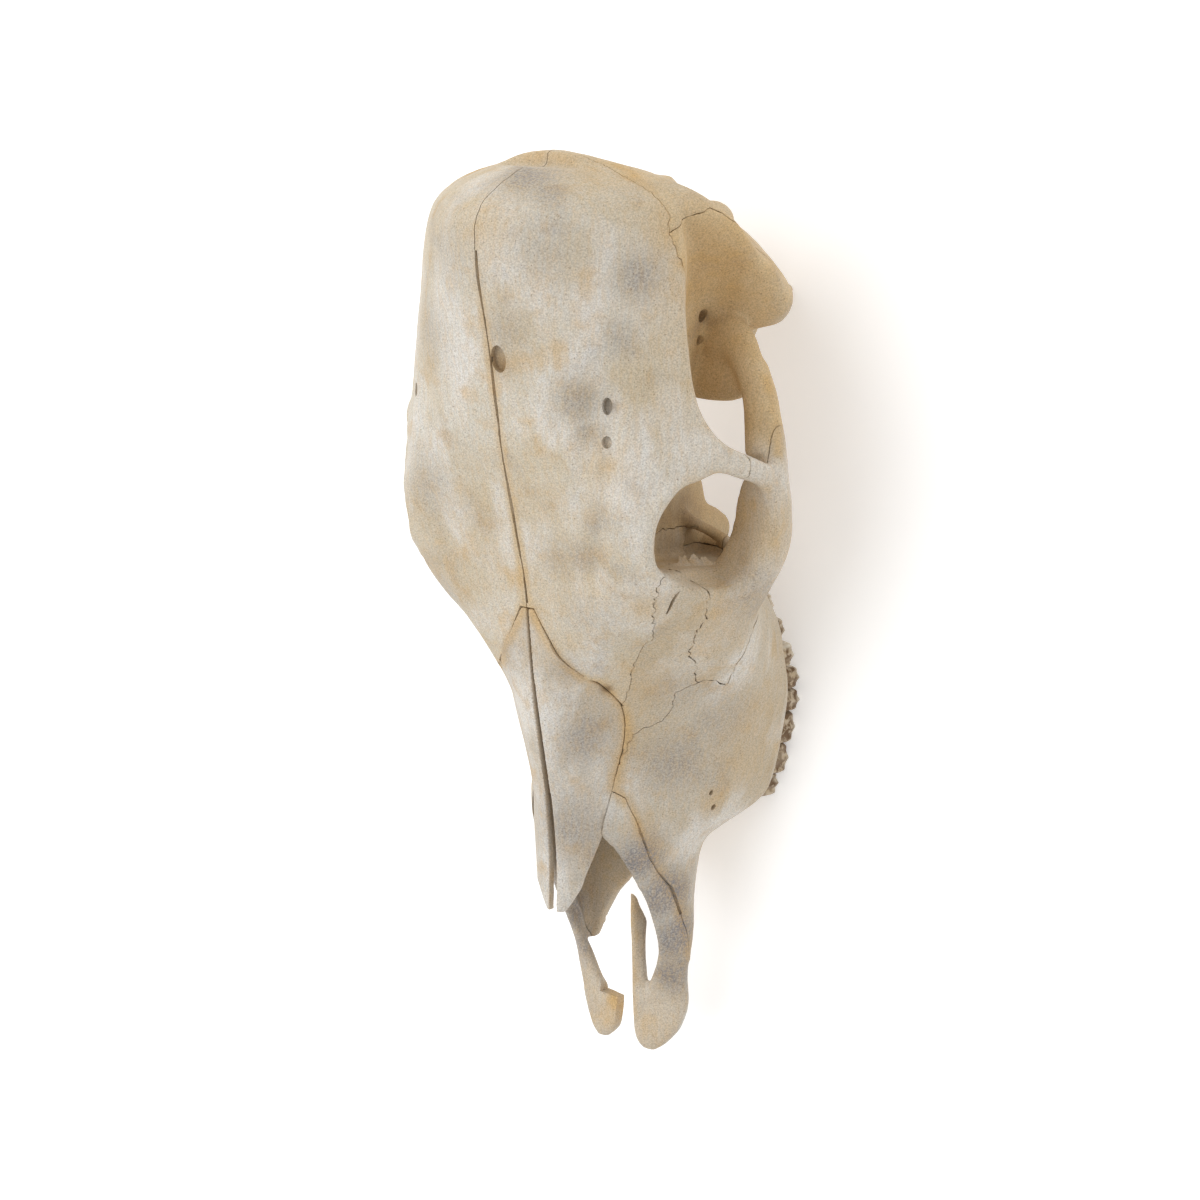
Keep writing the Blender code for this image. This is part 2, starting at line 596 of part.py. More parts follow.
def side_cell(side, outline, inner):
    start, end = signed(side, inner, FAR)
    return lambda margin, cutters: prism("cell", outline, start, end, cutters, margin=margin)


def temporal_cell(side):
    start, end = signed(side, TEMPORAL_INNER, FAR)
    arch = tuple((side * x, y) for x, y in ARCH_OUTLINE)

    def build(margin, cutters):
        wall = prism("cell", TEMPORAL_OUTLINE, start, end, cutters, margin=margin)
        band = prism("band", arch, *ARCH_BAND, cutters, axis="Z", margin=margin)
        boolean(wall, "UNION", band)
        bpy.data.objects.remove(band)
        return wall
    return build


def slab_cell(y_start, y_end, side=0):
    """A cell between two planes across the skull, of one side or of both."""
    outline = ((y_start, -10), (y_end, -10), (y_end, 240), (y_start, 240))
    start, end = signed(side, 0, FAR) if side else (-FAR, FAR)
    return lambda margin, cutters: prism("cell", outline, start, end, cutters, margin=margin)


def nasal(name, collection, side, margin=0):
    """One nasal bone: a thin arched plate from its tip to its rear point."""
    rings = []
    for y in NASAL_STATIONS:
        top, = value_at(NASAL_RIDGE, y)
        x, z = value_at(NASAL_SIDE, y)
        power, = value_at(NASAL_ARCH, y)
        tip = min(1, ((y - NASAL_TIP) / 16) ** 0.5)
        inner, = value_at(NASAL_INNER, y)
        outer = inner + (x - inner) * tip
        shares = [i / NASAL_STEPS for i in range(NASAL_STEPS + 1)]
        upper = [(inner + (outer - inner) * share, top - (top - z) * share**power) for share in shares]
        lower = [(px - margin, pz - NASAL_THICKNESS - margin) for px, pz in upper]
        lower[-1] = (outer - 1 + margin, z - NASAL_THICKNESS + 1 - 1.5 * margin)
        upper = [(px + margin, pz + margin) for px, pz in upper]
        upper[0] = (inner - margin, top + margin)
        ring = upper + lower[::-1]
        reach = margin * (y == NASAL_STATIONS[-1]) - margin * (y == NASAL_STATIONS[0])
        rings.append([(side * px, y + reach, pz) for px, pz in ring])
    return loft(name, rings, collection)


def cavity(collection):
    rings = []
    for y in CAVITY_STATIONS:
        top, middle, bottom = (value_at(line, y) for line in (CAVITY_TOP, CAVITY_MIDDLE, CAVITY_BOTTOM))
        floor, = value_at(CAVITY_FLOOR, y)
        wall = [tuple(p) for p in smooth_rows([top, middle, bottom], 3)]
        half = [(0, CAVITY_CEILING), (top[0], CAVITY_CEILING), *wall, (0, floor)]
        rings.append([(px, y, pz) for px, pz in mirrored(half)])
    return loft("cavity", rings, collection)


def teeth(collection, side):
    """The left or right cheek teeth: premolars of one lobe and molars of two."""
    made = []
    y = TOOTH_ROW[0][0]
    for number, (length, width) in enumerate(zip(TOOTH_LENGTHS, TOOTH_WIDTHS)):
        lobes = 1 if number < 3 else 2
        for lobe in range(lobes):
            middle = y + length * (lobe + 0.5) / lobes
            x, = value_at(TOOTH_ROW, middle)
            foot, = value_at(CHEWING_HEIGHT, middle)
            root, = value_at(ROOT_HEIGHT, middle)
            piece = bmesh.new()
            bmesh.ops.create_cone(
                piece, cap_ends=True, segments=10, radius1=0.5, radius2=0.42, depth=(root - foot),
            )
            bmesh.ops.scale(piece, verts=piece.verts, vec=(width, length / lobes * LOBE_OVERLAP, 1))
            bmesh.ops.translate(piece, verts=piece.verts, vec=(side * x, middle, (root + foot) / 2))
            bmesh.ops.scale(piece, verts=piece.verts, vec=(MM, MM, MM))
            mesh = bpy.data.meshes.new("tooth")
            piece.to_mesh(mesh)
            piece.free()
            made.append(add_object("tooth", mesh, collection))
        y += length
    return made


def cylinder(name, centre, radius, length, direction, collection):
    made = bmesh.new()
    bmesh.ops.create_cone(made, cap_ends=True, segments=24, radius1=radius, radius2=radius, depth=length)
    turn = Vector(direction).to_track_quat("Z", "Y").to_matrix().to_4x4()
    matrix = Matrix.Scale(MM, 4) @ Matrix.Translation(Vector(centre)) @ turn
    made.transform(matrix)
    mesh = bpy.data.meshes.new(name)
    made.to_mesh(mesh)
    made.free()
    return add_object(name, mesh, collection)


def fuse_skull(cutters):
    """The whole skull as one smooth body, without nasals and teeth."""
    blocks = [cranium(cutters), face(cutters), occiput(cutters), bar("skull_base", SKULL_BASE, cutters)]
    for side, tag in ((1, "left"), (-1, "right")):
        blocks += [
            cheekbone(f"cheekbone_{tag}", cutters, side),
            orbit_rim(f"rim_{tag}", cutters, side),
            bar(f"brow_bar_{tag}", BROW_BAR, cutters, side, up=(0.6, 0, 0.8)),
            bar(f"temporal_arch_{tag}", TEMPORAL_ARCH, cutters, side),
            bar(f"cheek_arch_{tag}", CHEEK_ARCH, cutters, side),
            bar(f"shelf_{tag}", SHELF, cutters, side),
            bar(f"jugular_process_{tag}", JUGULAR_PROCESS, cutters, side, up=(0, 1, 0)),
            bar(f"condyle_{tag}", CONDYLE, cutters, side, up=(0, 1, 0)),
            bar(f"ear_canal_{tag}", EAR_CANAL, cutters, side),
            bar(f"bulla_{tag}", BULLA, cutters, side),
            blade(f"orbit_wall_{tag}", ORBIT_WALL, cutters, side),
            blade(f"lacrimal_bulla_{tag}", LACRIMAL_BULLA, cutters, side),
            bar(f"orbit_strut_{tag}", ORBIT_STRUT, cutters, side),
            bar(f"tuber_{tag}", MAXILLARY_TUBER, cutters, side),
        ]
    skull = union("whole", blocks, cutters)
    notch = PALATE_NOTCH + tuple((-x, y) for x, y in PALATE_NOTCH[-2:0:-1])
    openings = [
        cavity(cutters),
        prism("palate_notch", notch, 0, NOTCH_TOP, cutters, axis="Z"),
        cylinder("foramen_magnum", FORAMEN_MAGNUM, FORAMEN_RADIUS, 90, (0, 1, 0), cutters),
    ]
    for opening in openings:
        boolean(skull, "DIFFERENCE", opening)
        bpy.data.objects.remove(opening)
    front = [
        blade("premaxilla", PREMAXILLA, cutters),
        blade("palatine_process", PALATINE_PROCESS, cutters),
        blade("premaxilla_broken", PREMAXILLA_BROKEN, cutters, -1),
    ]
    skull = union("skull", [skull, *front], cutters)
    soften(skull)
    return skull


def soften(skull):
    """Blends the blocks into one surface and thins its triangles."""
    fuse = skull.modifiers.new("fuse", "REMESH")
    fuse.mode = "VOXEL"
    fuse.voxel_size = VOXEL
    smooth = skull.modifiers.new("smooth", "SMOOTH")
    smooth.iterations = SMOOTHING_ROUNDS
    apply_modifiers(skull)
    keep_largest(skull)
    thin = skull.modifiers.new("thin", "DECIMATE")
    thin.ratio = BONE_TRIANGLES / len(skull.data.polygons)
    apply_modifiers(skull)


def stand_on_origin(skull):
    """Moves all bones together, so that the origin is the middle of the bounding box's underside."""
    corners = [v.co for bone in skull.objects for v in bone.data.vertices]
    low = [min(c[i] for c in corners) for i in range(3)]
    high = [max(c[i] for c in corners) for i in range(3)]
    shift = Vector((-(low[0] + high[0]) / 2, -(low[1] + high[1]) / 2, -low[2]))
    for bone in skull.objects:
        bone.data.transform(Matrix.Translation(shift))


def bone_material(name, colour):
    made = bpy.data.materials.new(name)
    made.use_nodes = True
    shader = made.node_tree.nodes["Principled BSDF"]
    shader.inputs["Base Color"].default_value = (*colour, 1)
    shader.inputs["Roughness"].default_value = BONE_ROUGHNESS
    shader.inputs["Metallic"].default_value = 0
    return made


def finish(skull):
    """Gives each bone its own colour and smooth shading."""
    for bone in skull.objects:
        kind = bone.name.split("_left")[0].split("_right")[0]
        bone.data.materials.clear()
        bone.data.materials.append(bone_material(bone.name, BONE_COLOURS[kind]))
        bone.data.shade_smooth()
        bone.data.set_sharp_from_angle(angle=math.radians(SHARP_ANGLE))


def main():
    clear_scene()
    skull = new_collection("cow_skull")
    cutters = new_collection("cutters")
    rest = fuse_skull(cutters)
    for side, tag in ((1, "left"), (-1, "right")):
        nasal(f"nasal_{tag}", skull, side)
        grown = nasal("grown", cutters, side, SEAM / MM)
        boolean(rest, "DIFFERENCE", grown)
        bpy.data.objects.remove(grown)
    keep_largest(rest)
    for side, tag in ((1, "left"), (-1, "right")):
        take(f"frontal_{tag}", rest, frontal_cell(side), skull, cutters)
        take(f"temporal_{tag}", rest, temporal_cell(side), skull, cutters)
        take(f"zygomatic_{tag}", rest, side_cell(side, ZYGOMATIC_OUTLINE, ZYGOMATIC_INNER), skull, cutters)
        take(f"lacrimal_{tag}", rest, side_cell(side, LACRIMAL_OUTLINE, 0), skull, cutters)
        take(f"premaxilla_{tag}", rest, side_cell(side, PREMAXILLA_OUTLINE, 0), skull, cutters)
    for side, tag in ((1, "left"), (-1, "right")):
        bone = take(f"maxilla_{tag}", rest, slab_cell(-FAR, FACE_REAR, side), skull, cutters)
        union(f"maxilla_{tag}", [bone, *teeth(cutters, side)], skull)
    take("skull_base", rest, slab_cell(FACE_REAR, BASE_REAR), skull, cutters)
    occipital = add_object("occiput", rest.data.copy(), skull)
    keep_largest(occipital)
    bpy.data.objects.remove(rest)
    stand_on_origin(skull)
    finish(skull)


main()
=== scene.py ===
# %% [markdown]
# # A cow skull, bone by bone
# The object is the life-size skull of a hornless cow without its lower jaw. It lies on its cheek teeth and
# on the two jugular processes behind them. A skull could be sculpted by hand, but here every form is drawn
# from a few named lines, so that each size can be read and changed. All lines are in millimetres: y runs
# from the nose (minus) to the poll (plus), x to the animal's left, and z up from the floor.

# %% Load the fixed frame
import math

import bmesh
import bpy
import numpy as np
from mathutils import Matrix, Vector, noise


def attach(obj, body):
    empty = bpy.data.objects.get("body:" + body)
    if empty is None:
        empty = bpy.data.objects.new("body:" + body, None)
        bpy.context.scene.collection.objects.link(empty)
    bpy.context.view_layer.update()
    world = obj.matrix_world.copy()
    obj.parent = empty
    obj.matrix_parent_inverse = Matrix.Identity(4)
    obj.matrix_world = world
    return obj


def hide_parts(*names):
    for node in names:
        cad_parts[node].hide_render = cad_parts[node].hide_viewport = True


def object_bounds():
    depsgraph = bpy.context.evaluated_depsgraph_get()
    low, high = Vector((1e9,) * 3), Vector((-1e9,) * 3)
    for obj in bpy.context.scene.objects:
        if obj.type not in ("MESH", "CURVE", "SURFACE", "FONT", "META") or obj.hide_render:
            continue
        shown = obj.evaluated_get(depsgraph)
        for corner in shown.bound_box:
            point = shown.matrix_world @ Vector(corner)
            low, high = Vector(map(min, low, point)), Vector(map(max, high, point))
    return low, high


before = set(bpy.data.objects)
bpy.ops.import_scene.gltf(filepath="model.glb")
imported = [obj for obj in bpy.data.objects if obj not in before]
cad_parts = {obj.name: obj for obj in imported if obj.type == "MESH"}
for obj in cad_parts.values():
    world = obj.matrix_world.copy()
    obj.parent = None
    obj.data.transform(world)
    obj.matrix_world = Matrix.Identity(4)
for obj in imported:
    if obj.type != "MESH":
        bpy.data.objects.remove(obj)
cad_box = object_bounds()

MM = 0.001
CENTRING = -2.91
SIDES = ((1, "left"), (-1, "right"))
print("bones in the frame:", len(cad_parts))

# %% [markdown]
# ## The camera
# The picture looks down on the skull from its left, with the poll at the top. The camera's right, up and
# back directions are written out, because the view is slightly rolled, and a roll is hard to read from
# angles.

# %% Camera
VIEW_RIGHT = Vector((0.8153258, 0.0598429, -0.5759015))
VIEW_UP = Vector((-0.1463469, 0.9836476, -0.1049764))
VIEW_BACK = Vector((0.5602021, 0.1698713, 0.8107511))
EYE = Vector((678.396, 221.968 + CENTRING, 1077.142)) * MM

view_data = bpy.data.cameras.new("skull_view")
view_data.sensor_width = 36
view_data.lens = 70.468
camera = bpy.data.objects.new("skull_view", view_data)
bpy.context.scene.collection.objects.link(camera)
turned = Matrix((VIEW_RIGHT, VIEW_UP, VIEW_BACK)).transposed().to_4x4()
camera.matrix_world = Matrix.Translation(EYE) @ turned
bpy.context.scene.camera = camera
print("camera height in metres:", round(camera.matrix_world.translation.z, 3))

# %% [markdown]
# ## Reading a line of the skull
# A line is a row of stations along y with one or more values each. Between stations a cubic Hermite curve
# keeps the line smooth. A second helper puts extra rows between given ones, for sections that are drawn as
# rings.

# %% Line helpers
def value_at(line, y):
    """The values of a line at y."""
    index = 0
    while index < len(line) - 2 and y > line[index + 1][0]:
        index += 1
    before = line[max(index - 1, 0)]
    start = line[index]
    end = line[index + 1]
    after = line[min(index + 2, len(line) - 1)]
    span = end[0] - start[0]
    t = (y - start[0]) / span
    made = []
    for k in range(1, len(start)):
        slope_in = (end[k] - before[k]) / (end[0] - before[0]) * span
        slope_out = (after[k] - start[k]) / (after[0] - start[0]) * span
        made.append(
            (2 * t**3 - 3 * t**2 + 1) * start[k] + (t**3 - 2 * t**2 + t) * slope_in
            + (3 * t**2 - 2 * t**3) * end[k] + (t**3 - t**2) * slope_out
        )
    return made


def smooth_rows(rows, steps):
    """Extra rows of numbers between the given ones, on Catmull-Rom curves."""
    ahead = [2 * a - b for a, b in zip(rows[0], rows[1])]
    behind = [2 * a - b for a, b in zip(rows[-1], rows[-2])]
    padded = [ahead, *rows, behind]
    made = []
    for r0, r1, r2, r3 in zip(padded, padded[1:], padded[2:], padded[3:]):
        for step in range(steps):
            t = step / steps
            made.append([
                0.5 * (
                    2 * b + (c - a) * t + (2 * a - 5 * b + 4 * c - d) * t**2 + (3 * b - a - 3 * c + d) * t**3
                )
                for a, b, c, d in zip(r0, r1, r2, r3)
            ])
    return [*made, list(rows[-1])]


# %% [markdown]
# ## Growing a skin from a ring
# Each block of the skull starts as one circle of points. The circle's edge is extruded again and again, and
# each new ring is laid on the next section. The ends are filled. It is the way a potter builds a vessel
# from coils.

# %% Ring and skin helpers
def lay_ring(ring, section):
    for vert, point in zip(ring, section):
        vert.co = Vector(point) * MM


def skin(sections, closed=False):
    """A bmesh through sections of equally many points; a closed one runs round in a loop."""
    made = bmesh.new()
    bmesh.ops.create_circle(made, cap_ends=False, segments=len(sections[0]), radius=1)
    ring = list(made.verts)
    edges = list(made.edges)
    first_edges = list(edges)
    lay_ring(ring, sections[0])
    for section in sections[1:]:
        grown = bmesh.ops.extrude_edge_only(made, edges=edges)["geom"]
        fresh = {v for v in grown if isinstance(v, bmesh.types.BMVert)}
        edges = [e for e in grown if isinstance(e, bmesh.types.BMEdge) and set(e.verts) <= fresh]
        ring = [next(e.other_vert(v) for e in v.link_edges if e.other_vert(v) in fresh) for v in ring]
        lay_ring(ring, section)
    if closed:
        bmesh.ops.bridge_loops(made, edges=first_edges + edges)
    else:
        bmesh.ops.holes_fill(made, edges=made.edges, sides=0)
    bmesh.ops.triangulate(made, faces=[f for f in made.faces if len(f.verts) > 4])
    bmesh.ops.recalc_face_normals(made, faces=made.faces)
    return made


def piece_of(made, name):
    """A scene object from a bmesh."""
    mesh = bpy.data.meshes.new(name)
    made.to_mesh(mesh)
    made.free()
    piece = bpy.data.objects.new(name, mesh)
    bpy.context.scene.collection.objects.link(piece)
    return piece


def mirrored(half):
    """A whole section from its half at +x, whose first and last points lie on the midline."""
    return half + [(-x, z) for x, z in reversed(half[1:-1])]


def dome(top, x, z, power, count):
    """Points from the midline out to (x, z), flatter in the middle the higher the power."""
    made = []
    for i in range(count):
        share = i / count
        made.append((x * share, top - (top - z) * share**power))
    return made


# %% [markdown]
# ## Braincase and forehead
# The forehead of a hornless cow is a long shield. A crown line gives its height, the temporal line its
# edge, and a power how square it is between them. Under the edge the section turns in to the wall of the
# temporal fossa.

# %% Braincase
CROWN = ((34, 162), (74, 176), (104, 187), (147, 200), (193, 213), (211, 213), (223, 200), (233, 180))
TEMPORAL_LINE = (
    (34, 76, 150), (52, 75, 162), (70, 77, 165), (88, 81, 157), (98, 90, 147), (108, 94, 140),
    (125, 87, 148), (147, 82, 153), (170, 79, 155), (193, 77, 156), (206, 75, 156), (215, 73, 154),
    (222, 66, 153), (228, 54, 151), (233, 41, 149),
)
DOME_POWER = ((34, 7), (70, 8), (90, 4.5), (108, 3.1), (147, 2.5), (185, 2), (211, 1.8), (233, 1.8))
LIP = (
    (34, 64, 138), (70, 70, 154), (108, 86, 136), (125, 80, 142), (170, 74, 146), (211, 68, 145),
    (233, 40, 141),
)
WALL_TOP = (
    (34, 36, 128), (88, 44, 130), (108, 50, 129), (147, 60, 130), (193, 61, 125), (223, 52, 125),
    (233, 38, 126),
)
WALL_MIDDLE = ((34, 32, 115), (88, 38, 113), (125, 51, 110), (170, 59, 105), (211, 54, 105), (233, 34, 108))
BASE_SIDE = ((34, 24, 106), (88, 28, 99), (125, 38, 88), (170, 44, 78), (211, 38, 80), (233, 24, 94))
BASE_MIDLINE = ((34, 102), (70, 98), (108, 90), (147, 76), (193, 70), (211, 72), (233, 92))
STEP = 4


def stations(start, end, step=STEP):
    count = max(2, round((end - start) / step) + 1)
    return [start + (end - start) * i / (count - 1) for i in range(count)]


def braincase():
    sections = []
    for y in stations(34, 233):
        top, = value_at(CROWN, y)
        power, = value_at(DOME_POWER, y)
        x, z = value_at(TEMPORAL_LINE, y)
        lines = [value_at(line, y) for line in (TEMPORAL_LINE, LIP, WALL_TOP, WALL_MIDDLE, BASE_SIDE)]
        lower = smooth_rows([*lines, [0, value_at(BASE_MIDLINE, y)[0]]], 3)
        half = dome(top, x, z, power, 14) + [tuple(p) for p in lower]
        sections.append([(px, y, pz) for px, pz in mirrored(half)])
    return skin(sections)


# %% [markdown]
# ## Face
# The face is a long wedge. Its section runs from the bridge of the nose over the side wall and the facial
# crest to the tooth sockets and the palate. Each of these has a line of its own, so a bone can swell where
# the real one does.

# %% Face
BRIDGE = (
    (-185, 44), (-165, 56), (-140, 80), (-112, 100), (-96, 129), (-80, 132), (-51, 141), (-24, 149),
    (18, 158), (46, 165),
)
NASAL_EDGE = (
    (-185, 30, 43), (-165, 31, 55), (-140, 33, 80), (-112, 28, 101), (-96, 23, 113), (-80, 25, 111),
    (-60, 30, 113), (-45, 34, 116), (-30, 35, 122), (-18, 32, 136), (-5, 34, 146), (12, 42, 153),
    (30, 48, 161), (46, 48, 165),
)
NOSE_POWER = ((-185, 2), (-24, 1.6), (12, 2.2), (46, 4))
SIDE_HIGH = (
    (-185, 34, 42), (-165, 36, 50), (-140, 38, 67), (-112, 37, 86), (-80, 36, 96), (-48, 46, 98),
    (-28, 50, 108), (-10, 47, 128), (5, 53, 138), (20, 66, 145), (34, 76, 148), (46, 74, 150),
)
SIDE_LOW = (
    (-185, 36, 41), (-140, 41, 56), (-112, 43, 70), (-80, 55, 71), (-48, 62, 76), (-28, 67, 84),
    (-10, 71, 99), (12, 78, 117), (34, 84, 126), (46, 74, 124),
)
FACIAL_CREST = (
    (-185, 35, 40), (-165, 38, 43), (-140, 39, 47), (-112, 44, 52), (-96, 56, 48), (-80, 63, 44),
    (-48, 71, 46), (-28, 76, 53), (-10, 80, 66), (12, 85, 86), (34, 88, 96), (46, 78, 98),
)
SOCKET_OUTER = (
    (-185, 33, 37), (-140, 35, 40), (-112, 40, 40), (-103, 48, 32), (-92, 57, 15), (-80, 62, 12),
    (-48, 68, 14), (-28, 70, 17), (-10, 70, 23), (12, 69, 33), (34, 64, 49), (46, 57, 64),
)
SOCKET_INNER = (
    (-185, 30, 36), (-112, 34, 34), (-92, 40, 19), (-80, 43, 12), (-48, 46, 15), (-10, 47, 27), (12, 47, 35),
    (34, 47, 48), (46, 44, 62),
)
PALATE_SIDE = (
    (-185, 26, 32), (-112, 22, 31), (-80, 33, 32), (-10, 36, 36), (12, 36, 41), (34, 34, 56), (46, 32, 70),
)
FACE_SIDE = (NASAL_EDGE, SIDE_HIGH, SIDE_LOW, FACIAL_CREST, SOCKET_OUTER, SOCKET_INNER, PALATE_SIDE)
PALATE_MIDLINE = ((-185, 31), (-112, 32), (-48, 36), (12, 42), (34, 62), (46, 84))


def face():
    sections = []
    for y in stations(-185, 46):
        top, = value_at(BRIDGE, y)
        power, = value_at(NOSE_POWER, y)
        x, z = value_at(NASAL_EDGE, y)
        lines = [value_at(line, y) for line in FACE_SIDE]
        lower = smooth_rows([*lines, [0, value_at(PALATE_MIDLINE, y)[0]]], 4)
        half = dome(top, x, z, power, 9) + [tuple(p) for p in lower]
        sections.append([(px, y, pz) for px, pz in mirrored(half)])
    return skin(sections)


# %% [markdown]
# ## Back of the skull and cheekbones
# The back flares into a crest for the neck muscles, so its sections are level slices. The cheekbone is a
# curved plate under the orbit, so its sections stand across the length of the skull.

# %% Occiput and cheekbone
OCCIPUT = (
    (46, (0, 176), (16, 176), (24, 180), (32, 184), (38, 190), (40, 198), (36, 206), (28, 212), (16, 216),
     (0, 214)),
    (60, (0, 160), (28, 160), (40, 166), (50, 172), (58, 180), (58, 190), (50, 204), (38, 212), (22, 218),
     (0, 216)),
    (75, (0, 150), (38, 150), (52, 156), (68, 162), (83, 167), (88, 181), (68, 202), (44, 217), (24, 225),
     (0, 223)),
    (92, (0, 148), (45, 148), (60, 156), (78, 163), (94, 170), (96, 184), (76, 204), (48, 221), (24, 228),
     (0, 230)),
    (106, (0, 150), (45, 152), (60, 166), (72, 178), (90, 187), (91, 195), (75, 210), (50, 225), (25, 232),
     (0, 234)),
    (122, (0, 155), (45, 160), (60, 176), (70, 192), (84, 205), (84, 212), (74, 219), (52, 228), (26, 235),
     (0, 237)),
    (138, (0, 160), (45, 168), (58, 188), (67, 202), (78, 211), (81, 217), (71, 225), (50, 232), (26, 237),
     (0, 239)),
    (150, (0, 170), (38, 178), (48, 195), (60, 207), (69, 213), (71, 219), (60, 227), (42, 233), (22, 239),
     (0, 242)),
    (163, (0, 180), (26, 186), (32, 204), (42, 212), (48, 217), (45, 224), (34, 231), (22, 236), (12, 240),
     (0, 241)),
)
CHEEKBONE = (
    (16, (60, 118), (72, 118), (80, 108), (85, 92), (80, 76), (68, 72), (58, 88)),
    (34, (66, 112), (82, 116), (92, 112), (97, 98), (93, 82), (80, 80), (66, 92)),
    (48, (73, 104), (86, 107), (100, 109), (105, 97), (101, 85), (90, 85), (77, 96)),
    (63, (79, 101), (91, 105), (105, 109), (108, 98), (106, 87), (96, 88), (83, 95)),
    (77, (81, 102), (95, 107), (109, 111), (111, 102), (108, 92), (99, 91), (85, 96)),
    (90, (86, 105), (96, 110), (106, 113), (110, 106), (108, 96), (99, 94), (89, 98)),
    (102, (95, 105), (100, 108), (106, 109), (108, 105), (107, 98), (101, 97), (97, 101)),
)


def flat_rows(slices):
    return [[place, *(value for point in points for value in point)] for place, *points in slices]


def occiput():
    sections = []
    for row in smooth_rows(flat_rows(OCCIPUT), 4):
        half = smooth_rows([list(row[i:i + 2]) for i in range(1, len(row), 2)], 3)
        sections.append([(x, y, row[0]) for x, y in mirrored([tuple(p) for p in half])])
    return skin(sections)


def cheekbone(side):
    sections = []
    for row in smooth_rows(flat_rows(CHEEKBONE), 5):
        corners = [list(row[i:i + 2]) for i in range(1, len(row), 2)]
        around = smooth_rows([*corners, corners[0]], 3)[:-1]
        sections.append([(side * x, row[0], z) for x, z in around])
    return skin(sections)


# %% [markdown]
# ## Bars, blades and the rim of the orbit
# The bridges between the big forms are bars of oval section. Thin bones, such as the premaxillae, are
# blades given by their two edges. The rim of the orbit is a loop, so its skin is bridged back to its first
# ring.

# %% Bars and blades
BROW_BAR = (
    (76, 108, 150, 14, 5), (86, 106, 145, 11, 5), (94, 102, 136, 7, 5), (100, 98, 124, 6, 5),
    (104, 94, 112, 6, 5),
)
TEMPORAL_ARCH = (
    (60, 158, 100, 14, 6), (74, 156, 101, 11, 6), (83, 147, 103, 8.5, 5.5), (90, 132, 103, 8.5, 5.5),
    (93, 116, 104, 8, 5), (95, 102, 107, 6.5, 4.5),
)
CHEEK_ARCH = (
    (104, 92, 102, 4.5, 8), (101.5, 108, 101, 4.2, 7), (98.5, 122, 101, 3.4, 6), (95, 136, 101, 2.6, 4.5),
    (90, 147, 101, 2.4, 4),
)
SHELF = ((44, 143, 97, 17, 8), (62, 142, 96, 17, 7), (74, 142, 96, 15, 7), (83, 145, 98, 9, 6))
SKULL_BASE = (
    (0, 216, 60, 22, 11), (0, 200, 58, 20, 11), (0, 175, 62, 18, 12), (0, 140, 70, 18, 14),
    (0, 100, 84, 17, 14), (0, 55, 94, 16, 14),
)
JUGULAR_PROCESS = ((44, 190, 62, 13, 9), (45, 187, 42, 11, 6), (43, 182, 22, 8, 5), (41, 178, 0, 5, 3.5))
CONDYLE = ((13, 205, 46, 9, 9), (24, 211, 52, 12, 11), (32, 211, 66, 11, 11), (28, 208, 82, 8, 8))
EAR_CANAL = ((54, 168, 68, 11, 10), (70, 174, 74, 9, 9), (78, 177, 80, 7, 7))
BULLA = ((42, 148, 58, 5, 6), (42, 156, 50, 9, 12), (43, 166, 48, 9, 12), (42, 176, 54, 5, 7))
MAXILLARY_TUBER = ((26, 44, 70, 12, 8), (44, 44, 66, 12, 8), (60, 42, 70, 10, 9), (76, 42, 82, 8, 9))
ORBIT_WALL = (
    ((44, 20, 112), (30, 20, 52), 5), ((46, 32, 122), (33, 31, 38), 6), ((46, 46, 126), (34, 45, 30), 6),
    ((46, 58, 130), (35, 57, 31), 7), ((46, 66, 130), (35, 65, 44), 6), ((47, 74, 130), (36, 70, 57), 6),
    ((48, 84, 129), (37, 80, 64), 6), ((49, 94, 127), (36, 92, 72), 6),
)
LACRIMAL_BULLA = (
    ((76, 43, 150), (60, 45, 128)), ((82, 38, 140), (62, 48, 117)), ((86, 37, 128), (66, 49, 110)),
    ((90, 38, 117), (71, 48, 106)), ((92, 41, 110), (76, 47, 104)),
)
BULLA_THICKNESS = 1.3
BULLA_COLUMNS = 14
BULLA_BULGE = 3
ORBIT_STRUT = (
    (43, 66, 93, 4, 4), (50, 61, 84, 3, 4), (57, 56, 77, 3, 4), (66, 50, 76, 4, 5), (76, 46, 88, 5, 5),
)
ORBIT_CENTRE = (90, 68, 132)
ORBIT_RIM = (
    (77, 73, 165), (75, 57, 163), (78, 44, 155), (86, 37, 134), (92, 38, 115), (99, 47, 107), (107, 62, 108),
    (110, 76, 111), (106, 88, 115), (100, 97, 127), (96, 98, 135), (90, 93, 146), (83, 87, 157),
)
RIM_WIDTH = 7
RIM_THICKNESS = 8
RIM_POINTS = 12
BLADE_POINTS = 14
BLADE_POWER = 0.7


def direction_at(points, i):
    return (points[min(i + 1, len(points) - 1)] - points[max(i - 1, 0)]).normalized()


def bar(path, side=1, up=(0, 0, 1), sides=18):
    """A bar of oval section; its half thickness lies along up, its half width across."""
    rows = smooth_rows([list(row) for row in path], 6)
    centres = [Vector(row[:3]) for row in rows]
    sections = []
    for i, row in enumerate(rows):
        forward = direction_at(centres, i)
        across = forward.cross(Vector(up)).normalized()
        lift = across.cross(forward)
        turns = [2 * math.pi * k / sides for k in range(sides)]
        points = [centres[i] + across * (row[3] * math.cos(t)) + lift * (row[4] * math.sin(t)) for t in turns]
        sections.append([(side * p.x, p.y, p.z) for p in points])
    return skin(sections)


def squared(k, count, power):
    """Point k of a circle of count points; the lower the power, the squarer the circle."""
    turn = 2 * math.pi * k / count
    return [math.copysign(abs(value) ** power, value) for value in (math.cos(turn), math.sin(turn))]


